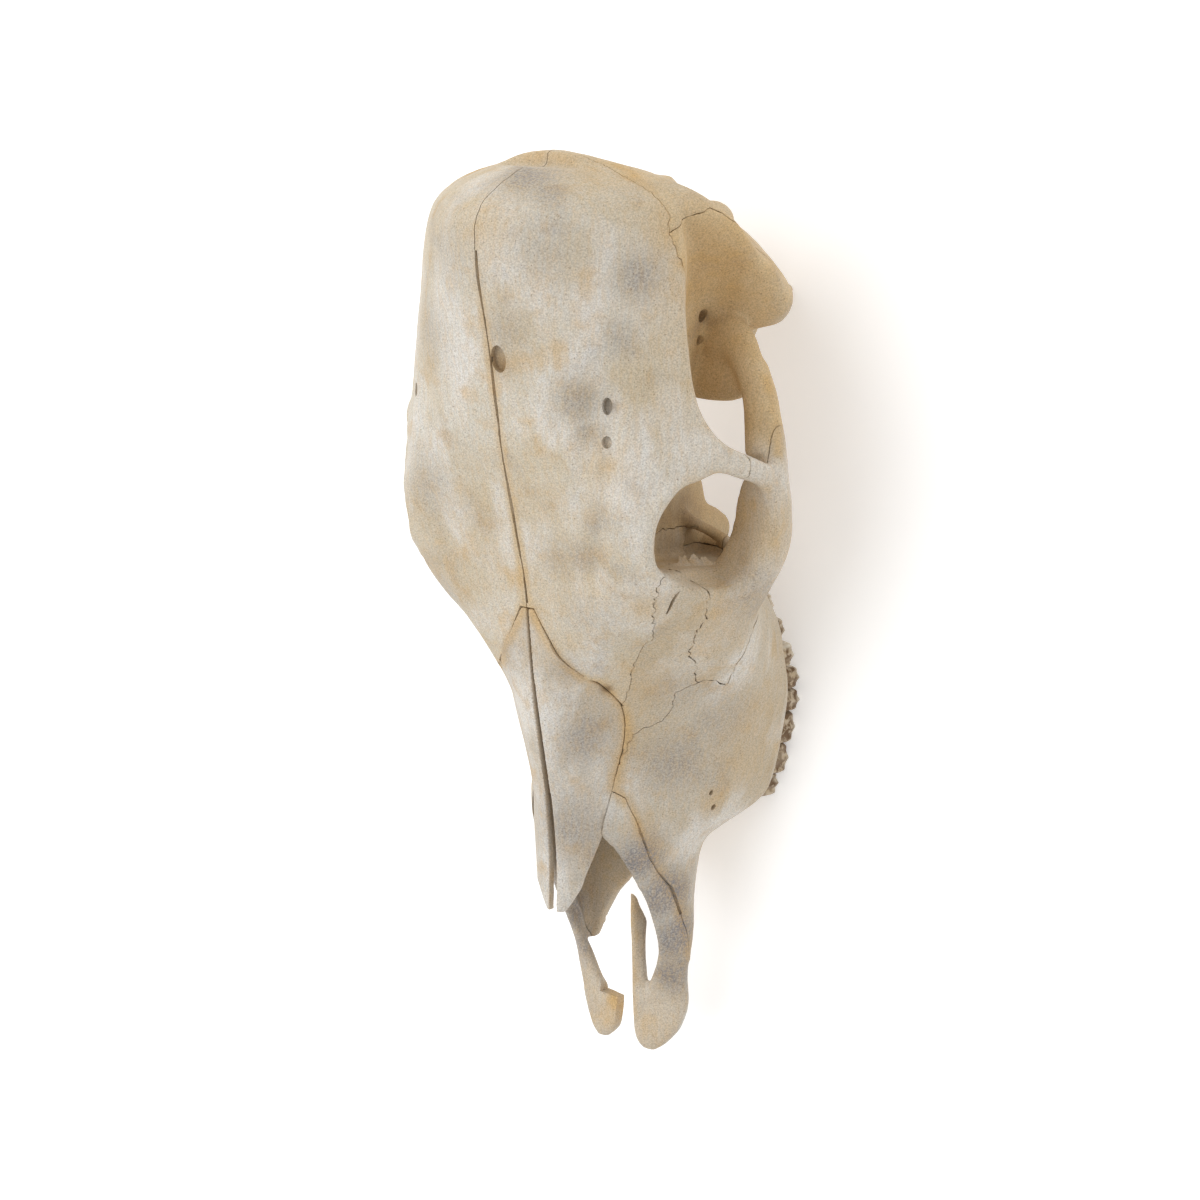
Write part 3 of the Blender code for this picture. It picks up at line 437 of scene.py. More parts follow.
def blade(path, side=1):
    """A plate given by its upper edge, lower edge and thickness at each station."""
    rows = smooth_rows([[*upper, *lower, thick] for upper, lower, thick in path], 4)
    middles = [(Vector(row[:3]) + Vector(row[3:6])) / 2 for row in rows]
    sections = []
    for i, row in enumerate(rows):
        across = (Vector(row[3:6]) - Vector(row[:3])) / 2
        lift = across.cross(direction_at(middles, i)).normalized() * row[6] / 2
        section = []
        for k in range(BLADE_POINTS):
            wide, high = squared(k, BLADE_POINTS, BLADE_POWER)
            point = middles[i] + across * wide + lift * high
            section.append((side * point.x, point.y, point.z))
        sections.append(section)
    return skin(sections)


def orbit_rim(side):
    """The loop of bone round the orbit, with its inner edge on the rim's crest."""
    centre = Vector(ORBIT_CENTRE)
    spokes = [Vector(p) - centre for p in ORBIT_RIM]
    normal = sum((a.cross(b) for a, b in zip(spokes, spokes[1:] + spokes[:1])), Vector()).normalized()
    sections = []
    for row in smooth_rows([*map(list, ORBIT_RIM), list(ORBIT_RIM[0])], 5)[:-1]:
        spoke = Vector(row) - centre
        outward = (spoke - normal * spoke.dot(normal)).normalized()
        middle = Vector(row) + outward * (RIM_WIDTH / 2 - 2) - normal * (RIM_THICKNESS / 2)
        section = []
        for k in range(RIM_POINTS):
            turn = 2 * math.pi * k / RIM_POINTS
            point = middle + outward * (RIM_WIDTH / 2 * math.cos(turn))
            point += normal * (RIM_THICKNESS / 2 * math.sin(turn))
            section.append((side * point.x, point.y, point.z))
        sections.append(section)
    return skin(sections, closed=True)


# %% [markdown]
# ## Front of the upper jaw
# The two premaxillae carry no teeth in a cow. Each is a strip that rises along the nose opening and ends in
# a flat pad. The left one is whole and keeps its inner process; the right one ends in a broken hook.

# %% Premaxillae
PREMAXILLA = (
    ((24, -82, 108), (30, -82, 103), 4), ((25, -98, 106), (35, -98, 93), 4.5),
    ((27, -115, 98), (37, -115, 81), 4.5), ((30, -135, 84), (38, -134, 66), 4.5),
    ((30, -155, 72), (38, -153, 53), 5), ((28, -173, 61), (37, -175, 45), 6),
    ((21, -190, 54), (36, -190, 42), 7), ((11, -206, 48), (37, -204, 41), 8),
    ((6, -214, 46), (36, -213, 41), 9), ((5, -223, 45), (32, -223, 41), 10),
    ((8, -231, 46), (26, -231, 44), 9), ((13, -236, 46), (20, -236, 46), 6),
)
PREMAXILLA_BROKEN = (
    *PREMAXILLA[:5], ((29, -173, 59), (38, -175, 45), 6), ((24, -190, 50), (36, -191, 42), 6.5),
    ((14, -207, 47), (32, -208, 42), 7), ((0, -211, 46), (30, -216, 43), 8),
    ((1, -223, 46), (27, -223, 43), 9), ((6, -231, 45), (22, -232, 44), 8), ((11, -236, 45), (17, -237, 45), 5),
)
PALATINE_PROCESS = (
    ((6, -220, 47), (16, -220, 44), 7), ((6, -205, 50), (15, -205, 47), 6),
    ((7, -180, 55), (13, -180, 50), 5), ((7, -155, 59), (12, -155, 50), 4.5),
    ((7, -134, 61), (11, -134, 52), 4), ((7, -118, 62), (9, -118, 56), 4),
)


def blocks():
    """All solid blocks of the skull but nasal bones and teeth."""
    made = [braincase(), face(), occiput(), bar(SKULL_BASE)]
    for side in (1, -1):
        made += [
            cheekbone(side), orbit_rim(side), bar(BROW_BAR, side, up=(0.6, 0, 0.8)), bar(TEMPORAL_ARCH, side),
            bar(CHEEK_ARCH, side), bar(SHELF, side), bar(JUGULAR_PROCESS, side, up=(0, 1, 0)),
            bar(CONDYLE, side, up=(0, 1, 0)), bar(EAR_CANAL, side), bar(BULLA, side),
            bar(MAXILLARY_TUBER, side), blade(ORBIT_WALL, side), bar(ORBIT_STRUT, side),
        ]
    return made


def front_blades():
    return [blade(PREMAXILLA), blade(PALATINE_PROCESS), blade(PREMAXILLA_BROKEN, -1)]


# %% [markdown]
# ## Fusing the blocks
# The blocks overlap. A voxel Remesh turns them into one skin, and the hollows are cut out of it. The
# premaxillae join after that, because they stand in front of the nose and would lose their inner process to
# its hollow. A second Remesh and a Smooth then melt all joints as living bone does. Last, two blocks break
# the right premaxilla off.

# %% Modifier helpers
FIRST_VOXEL = 1.6 * MM
BONE_VOXEL = 1.15 * MM
BONE_SMOOTHING = 9


def bake_modifiers(piece):
    evaluated = piece.evaluated_get(bpy.context.evaluated_depsgraph_get())
    mesh = bpy.data.meshes.new_from_object(evaluated)
    piece.modifiers.clear()
    piece.data = mesh


def remesh(piece, voxel, rounds):
    fuse = piece.modifiers.new("fuse", "REMESH")
    fuse.mode = "VOXEL"
    fuse.voxel_size = voxel
    if rounds:
        melt = piece.modifiers.new("melt", "SMOOTH")
        melt.iterations = rounds
    bake_modifiers(piece)


def joined(parts, name):
    """One object from several bmeshes."""
    whole = bmesh.new()
    for part in parts:
        mesh = bpy.data.meshes.new("part")
        part.to_mesh(mesh)
        part.free()
        whole.from_mesh(mesh)
        bpy.data.meshes.remove(mesh)
    return piece_of(whole, name)


def combine(piece, operation, other):
    """A Boolean with another closed object, which is then removed."""
    change = piece.modifiers.new(operation.lower(), "BOOLEAN")
    change.operation = operation
    change.solver = "MANIFOLD"
    change.object = other
    bake_modifiers(piece)
    bpy.data.objects.remove(other)


def keep_largest(piece):
    """Drops every loose scrap but the island with the most faces."""
    made = bmesh.new()
    made.from_mesh(piece.data)
    unseen = set(made.faces)
    islands = []
    while unseen:
        island = [unseen.pop()]
        for one in island:
            for edge in one.edges:
                for beside in edge.link_faces:
                    if beside in unseen:
                        unseen.discard(beside)
                        island.append(beside)
        islands.append(island)
    largest = max(islands, key=len)
    scraps = [face for island in islands if island is not largest for face in island]
    bmesh.ops.delete(made, geom=scraps, context="FACES")
    made.to_mesh(piece.data)
    made.free()


# %% [markdown]
# ## Hollows
# The nasal cavity opens at the front, the palate is notched between the two halves of the jaw, and the
# spinal cord's hole opens at the back. Each is a closed form that is taken away from the fused skull.

# %% Hollows
CAVITY_TOP = (
    (-200, 24, 44), (-165, 27, 56), (-140, 28, 78), (-112, 23, 99), (-96, 18, 111), (-80, 20, 107),
    (-45, 28, 112), (-10, 14, 140), (8, 5, 150),
)
CAVITY_MIDDLE = (
    (-200, 30, 42), (-165, 32, 48), (-140, 35, 60), (-112, 34, 78), (-96, 33, 87), (-80, 34, 87),
    (-45, 36, 94), (-10, 18, 120), (8, 6, 140),
)
CAVITY_BOTTOM = (
    (-200, 28, 39), (-165, 30, 40), (-112, 36, 45), (-80, 43, 50), (-45, 32, 60), (-10, 16, 90), (8, 5, 115),
)
CAVITY_FLOOR = ((-200, 36), (-112, 38), (-80, 41), (-45, 50), (-10, 80), (8, 110))
CAVITY_CEILING = 165
BREAKS = (((-4.6, -236, 20), (3.2, -200, 70)), ((-16, -211, 20), (0, -199, 70)))
BREAK_TURN = -3
NOTCH_TOP = 60
SPINAL_HOLE = ((0, 222, 68), (16, 16), 90, (0, 1, 0), 32)
PALATE_NOTCH = ((0, -142), (9, -145), (18, -157), (25, -172), (30, -190), (30, -215), (0, -215))


def nasal_cavity():
    sections = []
    for y in stations(-200, 8):
        top, middle, bottom = (value_at(line, y) for line in (CAVITY_TOP, CAVITY_MIDDLE, CAVITY_BOTTOM))
        floor, = value_at(CAVITY_FLOOR, y)
        wall = [tuple(p) for p in smooth_rows([top, middle, bottom], 4)]
        half = [(0, CAVITY_CEILING), (top[0], CAVITY_CEILING), *wall, (0, floor)]
        sections.append([(px, y, pz) for px, pz in mirrored(half)])
    return skin(sections)


def plug(centre, radii, depth, direction, segments=20):
    """An oval plug pointing along a direction; its radii are across the skull and along it."""
    made = bmesh.new()
    bmesh.ops.create_cone(made, cap_ends=True, segments=segments, radius1=1, radius2=1, depth=depth)
    bmesh.ops.scale(made, vec=(radii[0], radii[1], 1), verts=made.verts)
    forward = Vector(direction).normalized()
    along = Vector((0, 1, 0)) - forward * forward.y
    along = along.normalized() if along.length > 0.1 else Vector((1, 0, 0))
    turn = Matrix((along.cross(forward), along, forward)).transposed()
    bmesh.ops.rotate(made, matrix=turn, verts=made.verts)
    bmesh.ops.translate(made, vec=centre, verts=made.verts)
    bmesh.ops.scale(made, vec=(MM, MM, MM), verts=made.verts)
    return made


def slab(low, high):
    """A block between two corners, turned a little about z so that a break looks torn and not sawn."""
    made = bmesh.new()
    bmesh.ops.create_cube(made, size=1)
    size = Vector(high) - Vector(low)
    bmesh.ops.scale(made, vec=size * MM, verts=made.verts)
    bmesh.ops.rotate(made, matrix=Matrix.Rotation(math.radians(BREAK_TURN), 3, "Z"), verts=made.verts)
    bmesh.ops.translate(made, vec=(Vector(low) + size / 2) * MM, verts=made.verts)
    return made


def palate_notch():
    half = list(PALATE_NOTCH)
    outline = half + [(-x, y) for x, y in half[-2:0:-1]]
    return skin([[(x, y, z) for x, y in outline] for z in (0, NOTCH_TOP)])


def mesh_copy(piece):
    made = bmesh.new()
    made.from_mesh(piece.data)
    bpy.data.objects.remove(piece)
    return made


skull = joined(blocks(), "skull")
remesh(skull, FIRST_VOXEL, 0)
for hollow in (nasal_cavity(), palate_notch(), plug(*SPINAL_HOLE)):
    combine(skull, "DIFFERENCE", piece_of(hollow, "hollow"))
skull = joined([mesh_copy(skull), *front_blades()], "skull")
remesh(skull, BONE_VOXEL, BONE_SMOOTHING)
for low, high in BREAKS:
    combine(skull, "DIFFERENCE", piece_of(slab(low, high), "break"))
keep_largest(skull)
print("faces of the fused skull:", len(skull.data.polygons))

# %% [markdown]
# ## Lacrimal bullae
# In the floor of each orbit stands a blister of bone as thin as an egg's shell. Most are broken, so this
# one is a sheet whose inner edge is torn by a noise. A Solidify modifier gives it its thickness.

# %% Bullae
def bulla(side):
    """The torn sheet between the bulla's two edges; it starts inside the orbit's wall."""
    sections = []
    for row in smooth_rows([[*outer, *inner] for outer, inner in LACRIMAL_BULLA], 9):
        outer = Vector(row[:3])
        reach = Vector(row[3:]) - outer
        tear = 1 + 0.22 * noise.noise(outer / 3) + 0.1 * noise.noise(outer / 1.1)
        points = [outer + reach * (tear * i / (BULLA_COLUMNS - 1)) for i in range(BULLA_COLUMNS)]
        bulge = [BULLA_BULGE * math.sin(math.pi * i / (BULLA_COLUMNS - 1)) for i in range(BULLA_COLUMNS)]
        sections.append([(side * p.x, p.y, p.z - lift) for p, lift in zip(points, bulge)])
    made = bmesh.new()
    bmesh.ops.create_grid(made, x_segments=BULLA_COLUMNS - 1, y_segments=len(sections) - 1, size=1)
    for vert, place in zip(made.verts, (p for section in sections for p in section)):
        vert.co = Vector(place) * MM
    piece = piece_of(made, "bulla")
    shell = piece.modifiers.new("shell", "SOLIDIFY")
    shell.thickness = BULLA_THICKNESS * MM
    shell.offset = 0
    bake_modifiers(piece)
    return piece


bullae = {tag: bulla(side) for side, tag in SIDES}

# %% [markdown]
# ## Relief of the surface
# Dry bone is never quite smooth. The forehead has shallow grooves that run from the nerve holes to the
# nose, and the whole surface swells and sinks by some tenths of a millimetre. Each vertex is moved along
# its normal.

# %% Relief
GROOVES = (
    ((58, 125, 180), (57, 108, 178), (55, 90, 175), (50, 66, 171), (44, 44, 165)),
    ((50, 125, 183), (46, 100, 180), (42, 78, 174)),
)
GROOVE_WIDTH = 6
GROOVE_DEPTH = 2.1


def vertex_values(piece, kind):
    values = np.empty(len(piece.data.vertices) * 3)
    piece.data.vertices.foreach_get(kind, values)
    return values.reshape(-1, 3)


def coordinates(piece):
    """The places of a piece's vertices in millimetres."""
    return vertex_values(piece, "co") / MM


def put_back(piece, places):
    piece.data.vertices.foreach_set("co", (places * MM).ravel())
    piece.data.update()


def distance_to_path(places, path):
    """Distance of each place to a line through the path's points, with x taken on both sides."""
    nearest = np.full(len(places), 1e9)
    folded = places.copy()
    folded[:, 0] = np.abs(folded[:, 0])
    for start, end in zip(path, path[1:]):
        a = np.array(start, float)
        run = np.array(end, float) - a
        share = np.clip(((folded - a) @ run) / (run @ run), 0, 1)
        nearest = np.minimum(nearest, np.linalg.norm(folded - a - share[:, None] * run, axis=1))
    return nearest


def swell(place):
    point = Vector(place)
    return 0.4 * noise.noise(point / 19) + 0.1 * noise.noise(point / 6) + 0.04 * noise.noise(point / 2.4)


places = coordinates(skull)
normals = vertex_values(skull, "normal")
height = np.array([swell(place) for place in places])
for path in GROOVES:
    height -= GROOVE_DEPTH * np.exp(-(distance_to_path(places, path) / GROOVE_WIDTH) ** 2)
put_back(skull, places + normals * height[:, None])

# %% [markdown]
# ## Small openings
# Nerves and vessels leave the skull through small round holes. The forehead has two on the left and one on
# the right, and each temporal fossa and each side of the nose has two. The larger oval hole near the
# midline was made by people. Some sutures have dried open, so thin bars cut them wider.

# %% Nerve holes
NERVE_HOLES = (
    ((55, 125, 180), (2.3, 4.2), 12, (0.25, 0, 1), (1,)),
    ((55, 108, 178), (2.3, 3), 8, (0.25, 0, 1), (1,)),
    ((66, 121, 174), (2.2, 3.6), 10, (0.3, 0, 1), (-1,)),
    ((59, 167, 110), (3, 3.4), 12, (1, 0, 0.1), (1, -1)),
    ((58, 155, 108), (2.2, 2.4), 9, (1, 0, 0.1), (1, -1)),
    ((57, -80, 66), (1.2, 1.7), 8, (0.9, -0.3, 0.2), (1, -1)),
    ((56, -89, 61), (1.4, 1.9), 5, (0.9, -0.3, 0.2), (1, -1)),
    ((16, 0, 39), (2.6, 3.4), 10, (0, 0, -1), (1, -1)),
    ((34, 74, 104), (3.6, 3), 14, (1, 0, 0.2), (1, -1)), ((20, 168, 46), (3, 4), 12, (0, 0, -1), (1, -1)),
    ((81, 178, 81), (2.6, 2.8), 10, (1, 0.25, 0.2), (1, -1)),
)
BOLT_HOLE = ((5.5, 142, 203), (4.4, 6.8), 16, (0.05, -0.25, 1), (1,))
CRACKS = (
    ((72, 26, 143, 0.5, 3), (78, 33, 146, 0.9, 3), (84, 38, 148, 0.4, 3)),
    ((26, -15, 143, 0.5, 3), (31, -17, 138, 1.2, 3), (34, -22, 132, 1.3, 3), (36, -30, 121, 0.5, 3)),
    (
        (34, -84, 104, 0.5, 2), (36, -105, 94, 0.9, 2), (38, -123, 82, 1, 2), (39, -137, 68, 1.2, 2),
        (39, -152, 58, 0.9, 2),
    ),
)
CRACK_STATIONS = range(22, 200, 9)
CRACK_DEPTH = 2.6


def midline_x(y):
    return 0.5 * math.sin(y / 17)


def midline_crack(y):
    """The open suture between the frontals, on the crown line, with its half width and half depth."""
    return midline_x(y), y, value_at(CROWN, y)[0], 0.65 + 0.3 * math.sin(y / 9), CRACK_DEPTH


openings = []
for centre, radii, depth, direction, sides in (*NERVE_HOLES, BOLT_HOLE):
    for side in sides:
        place = (side * centre[0], centre[1], centre[2])
        openings.append(plug(place, radii, depth, (side * direction[0], *direction[1:])))
for side in (1, -1):
    openings += [bar(crack, side, up=(0.8, 0, 0.6), sides=8) for crack in CRACKS]
openings.append(bar([midline_crack(y) for y in CRACK_STATIONS], sides=8))
for opening in openings:
    combine(skull, "DIFFERENCE", piece_of(opening, "opening"))

# %% [markdown]
# ## Cutting the skull into its bones
# The bones of a young cow are parted by sutures that wander like a coastline. Each bone is taken with a
# closed cell whose wall follows the suture's line and is jagged by a noise. The rest is cut with the same
# cell, grown by the seam's width, so that the gap is even and a dark line shows between the bones.

# %% Cells
SEAM = 0.45
CELL_STEP = 1.8
REACH = 120
FRONTAL_FLOOR = (
    (-62, 112), (-32, 120), (-10, 130), (11, 138), (18, 144), (32, 152), (43, 156), (54, 144), (66, 133),
    (82, 127), (104, 127), (116, 134), (130, 141), (147, 146), (170, 148), (185, 150), (196, 158),
    (204, 160), (211, 160), (217, 159), (224, 158), (231, 157), (250, 157),
)
ZYGOMATIC_OUTLINE = (
    (38, 129), (28, 125), (22, 121), (17, 122), (11, 121), (2, 116), (-9, 105), (-15, 100), (-14, 92),
    (-18, 84), (-7, 86), (9, 84), (20, 76), (34, 66), (160, 66), (160, 170), (52, 170), (48, 140),
)
LACRIMAL_OUTLINE = (
    (-70, 118), (-56, 113), (-44, 111), (-38, 103), (-32, 102), (-21, 106), (-15, 100), (10, 92), (60, 88),
    (60, 200), (-70, 200),
)
TEMPORAL_OUTLINE = (
    (118, 190), (118, 76), (140, 66), (164, 60), (176, 64), (184, 74), (191, 86), (201, 104), (212, 122),
    (219, 139), (207, 160), (200, 190),
)
ARCH_OUTLINE = (
    (88, 91), (98, 91), (103, 97), (102, 108), (103, 118), (107, 129), (112, 138), (112, 158), (60, 158),
    (60, 122), (80, 112),
)
ARCH_HEIGHTS = (84, 113)
MAXILLA_OUTLINE = ((-260, -10), (50, -10), (50, 240), (-260, 240))
BASE_OUTLINE = ((50, -10), (118, -10), (118, 240), (50, 240))
PREMAXILLA_OUTLINE = (
    (-78, 112), (-82, 105), (-105, 94), (-123, 82), (-135, 69), (-150, 58), (-166, 50), (-179, 44),
    (-187, 38), (-190, 20), (-250, 20), (-250, 140), (-78, 140),
)


def dense(outline):
    """The outline's corners and points between them, anticlockwise."""
    area = sum(a[0] * b[1] - b[0] * a[1] for a, b in zip(outline, outline[1:] + outline[:1]))
    corners = list(outline) if area > 0 else list(reversed(outline))
    made = []
    for start, end in zip(corners, corners[1:] + corners[:1]):
        run = Vector(end) - Vector(start)
        count = max(1, round(run.length / CELL_STEP))
        made += [Vector(start) + run * i / count for i in range(count)]
    return made


def outward_at(points, i):
    before = (points[i] - points[i - 1]).normalized()
    after = (points[(i + 1) % len(points)] - points[i]).normalized()
    first = Vector((before.y, -before.x))
    normal = (first + Vector((after.y, -after.x))).normalized()
    return normal / max(normal.dot(first), 0.4)


def jag(place, teeth):
    """How far a suture strays at a place: broad waves and fine teeth."""
    point = Vector(place)
    return 1.1 * noise.noise(point / 11) + teeth * noise.noise(point / 2.6 + Vector((7, 3, 5)))


def cell(outline, start, end, margin, teeth=0.9, axis="X"):
    """A closed block with a jagged wall along an outline, from start to end along X or Z."""
    points = dense(tuple(outline))
    sections = []
    for place in stations(start - margin, end + margin, 2.4):
        section = []
        for i, point in enumerate(points):
            at = (place, point.x, point.y) if axis == "X" else (point.x, point.y, place)
            moved = point + outward_at(points, i) * margin + outward_at(points, i) * jag(at, teeth)
            section.append((place, moved.x, moved.y) if axis == "X" else (moved.x, moved.y, place))
        sections.append(section)
    return piece_of(skin(sections), "cell")


def signed(side, inner, outer):
    return (inner, outer) if side == 1 else (-outer, -inner)


def take(name, rest, cell_with):
    """Cuts one bone out of the rest."""
    bone = bpy.data.objects.new(name, rest.data.copy())
    bpy.context.scene.collection.objects.link(bone)
    combine(bone, "INTERSECT", cell_with(0))
    keep_largest(bone)
    combine(rest, "DIFFERENCE", cell_with(SEAM))
    return bone


# %% [markdown]
# ## Nasal bones
# The two nasal bones are long thin plates that arch over the nose and end in points over its opening. They
# stand a little apart, so the tan edge of the right one shows. Each is its own skin, and its grown copy
# clears the rest.

# %% Nasal bones
NASAL_RIDGE = ((-150, 121), (-117, 124), (-84, 131), (-51, 141), (-24, 149), (18, 158.3), (22, 159))
NASAL_SIDE = (
    (-147, 11, 119), (-126, 15, 117), (-104, 21, 113), (-80, 25, 111), (-60, 30, 113), (-45, 34, 116),
    (-30, 35, 122), (-18, 31, 136), (-5, 18, 153), (5, 12, 156), (19, 4, 158),
)
NASAL_ARCH = ((-147, 1.8), (-24, 1.7), (-5, 2), (19, 2))
NASAL_INNER = ((-147, 2.2), (-80, 1.6), (-30, 0.9), (19, 0.5))
NASAL_TIP = -147
NASAL_THICKNESS = 4.6
FREE_EDGE = -70
SCRAP_CLEARANCE = 6


def nasal(side, margin=0):
    """One nasal bone, or its copy grown by a margin, which clears scraps off its free part as well."""
    sections = []
    run = stations(-145, 19, 3)
    for y in run:
        top, = value_at(NASAL_RIDGE, y)
        x, z = value_at(NASAL_SIDE, y)
        power, = value_at(NASAL_ARCH, y)
        inner, = value_at(NASAL_INNER, y)
        outer = inner + (x - inner) * min(1, ((y - NASAL_TIP) / 16) ** 0.5)
        upper = [(inner + (outer - inner) * i / 8, top - (top - z) * (i / 8) ** power) for i in range(9)]
        lower = [(px - margin, pz - NASAL_THICKNESS - margin) for px, pz in upper]
        lower[-1] = (outer - 1 + margin, z - NASAL_THICKNESS + 1 - 1.5 * margin)
        lift = margin * (SCRAP_CLEARANCE if y < FREE_EDGE else 1)
        upper = [(px + margin, pz + lift) for px, pz in upper]
        upper[0] = (inner - margin, top + lift)
        reach = margin * (y == run[-1]) - margin * (y == run[0])
        sections.append([(side * px, y + reach, pz) for px, pz in upper + lower[::-1]])
    return skin(sections)


bones = {}
for side, tag in SIDES:
    combine(skull, "DIFFERENCE", piece_of(nasal(side, SEAM), "clearance"))
    bones[f"nasal_{tag}"] = piece_of(nasal(side), f"nasal_{tag}_bone")
    remesh(bones[f"nasal_{tag}"], 0.8 * MM, 4)
keep_largest(skull)

# %% [markdown]
# ## Taking the bones one after the other
# The two frontals come off together and are then parted along the midline, where the suture runs almost
# straight. What is left of the skull after the other cuts is the occipital bone at the back.

# %% Bones
def frontal_pair(margin):
    return cell((*FRONTAL_FLOOR, (250, 240), (-62, 240)), -REACH, REACH, margin=margin, teeth=1.9)


def left_half(margin):
    midline = tuple((midline_x(y), y) for y in range(300, -90, -6))
    return cell(((REACH, -84), (REACH, 300), *midline), 80, 260, axis="Z", margin=margin, teeth=0.5)


frontals = take("frontals", skull, frontal_pair)
bones["frontal_left"] = take("frontal_left_bone", frontals, left_half)
keep_largest(frontals)
bones["frontal_right"] = frontals

for side, tag in SIDES:
    def temporal(margin):
        wall = cell(TEMPORAL_OUTLINE, *signed(side, 38, REACH), margin=margin)
        arch = tuple((side * x, y) for x, y in ARCH_OUTLINE)
        combine(wall, "UNION", cell(arch, *ARCH_HEIGHTS, axis="Z", margin=margin, teeth=0.4))
        return wall

    def zygomatic(margin):
        return cell(ZYGOMATIC_OUTLINE, *signed(side, 62, REACH), margin=margin, teeth=1.9)

    def lacrimal(margin):
        return cell(LACRIMAL_OUTLINE, *signed(side, 0, REACH), margin=margin, teeth=1.9)

    def premaxilla(margin):
        return cell(PREMAXILLA_OUTLINE, *signed(side, 0, REACH), margin=margin, teeth=0.2)

    bones[f"temporal_{tag}"] = take(f"temporal_{tag}_bone", skull, temporal)
    bones[f"zygomatic_{tag}"] = take(f"zygomatic_{tag}_bone", skull, zygomatic)
    bones[f"lacrimal_{tag}"] = take(f"lacrimal_{tag}_bone", skull, lacrimal)
    bones[f"premaxilla_{tag}"] = take(f"premaxilla_{tag}_bone", skull, premaxilla)

for side, tag in SIDES:
    def maxilla(margin):
        return cell(MAXILLA_OUTLINE, *signed(side, 0, REACH), margin=margin, teeth=0.4)

    bones[f"maxilla_{tag}"] = take(f"maxilla_{tag}_bone", skull, maxilla)


def base_slab(margin):
    return cell(BASE_OUTLINE, -REACH, REACH, margin=margin, teeth=0.4)


bones["skull_base"] = take("skull_base_bone", skull, base_slab)
keep_largest(skull)
bones["occiput"] = skull
for name, bone in bones.items():
    print(name, len(bone.data.polygons), "faces")

# %% [markdown]
# ## Cheek teeth
# A cow has six cheek teeth on each side: three premolars of one lobe and three molars of two. Each lobe is
# a column with ribs on its cheek side and a chewing face that is worn into ridges with a dark pit between
# them.

# %% Teeth
TOOTH_LENGTHS = (13, 17, 18, 25, 28, 27)
TOOTH_WIDTHS = (14, 18, 20, 22, 23, 21)
LOBE_OVERLAP = 1.04
LOBE_POINTS = 40
LOBE_POWER = 0.6
TOOTH_ROW = ((-92, 50), (-80, 54), (-48, 57), (-10, 57), (36, 50))
CHEWING_HEIGHT = ((-92, 1), (-40, 0), (-24, 3), (-6, 14), (14, 26), (36, 36))
ROOT_HEIGHT = ((-92, 24), (-80, 24), (-48, 27), (-10, 38), (36, 62))


def lobe_section(centre, half_width, half_length, z, cusp):
    """A squarish ring of the lobe, ribbed on the cheek side; cusp is how deep the valleys are worn."""
    points = []
    for k in range(LOBE_POINTS):
        across, along = squared(k, LOBE_POINTS, LOBE_POWER)
        rib = 0.7 * math.cos(2.4 * math.pi * along) if across > 0.2 else 0
        lift = cusp * abs(along) ** 1.5
        points.append((centre[0] + half_width * across + rib, centre[1] + half_length * along, z + lift))
    return points


def tooth_lobe(x, y, width, length, foot, root):
    """One column from its root to its chewing face, whose enamel edge stands round a worn pit."""
    half_width = width / 2
    half_length = length / 2 * LOBE_OVERLAP
    levels = (
        (root, 0.8, 0), ((root + foot) / 2, 0.95, 0), (foot + 5, 1, 0), (foot + 1.5, 0.98, 1.6),
        (foot + 0.3, 0.92, 2.4), (foot, 0.84, 2.4), (foot + 0.8, 0.74, 2), (foot + 2.4, 0.6, 1),
        (foot + 2.8, 0.3, 0.2),
    )
    return skin([
        lobe_section((x, y), half_width * size, half_length * size, z, cusp) for z, size, cusp in levels
    ])


def tooth_row(side):
    lobes = []
    y = TOOTH_ROW[0][0]
    for number, (length, width) in enumerate(zip(TOOTH_LENGTHS, TOOTH_WIDTHS)):
        count = 1 if number < 3 else 2
        for index in range(count):
            middle = y + length * (index + 0.5) / count
            x, = value_at(TOOTH_ROW, middle)
            foot, = value_at(CHEWING_HEIGHT, middle)
            root, = value_at(ROOT_HEIGHT, middle)
            lobe = tooth_lobe(x, middle, width, length / count, foot, root)
            if side < 0:
                bmesh.ops.scale(lobe, verts=lobe.verts, vec=(-1, 1, 1))
                bmesh.ops.reverse_faces(lobe, faces=lobe.faces)
            lobes.append(lobe)
        y += length
    return joined(lobes, "teeth")


teeth = {tag: tooth_row(side) for side, tag in SIDES}
print("lobes in a row:", 3 + 3 * 2)
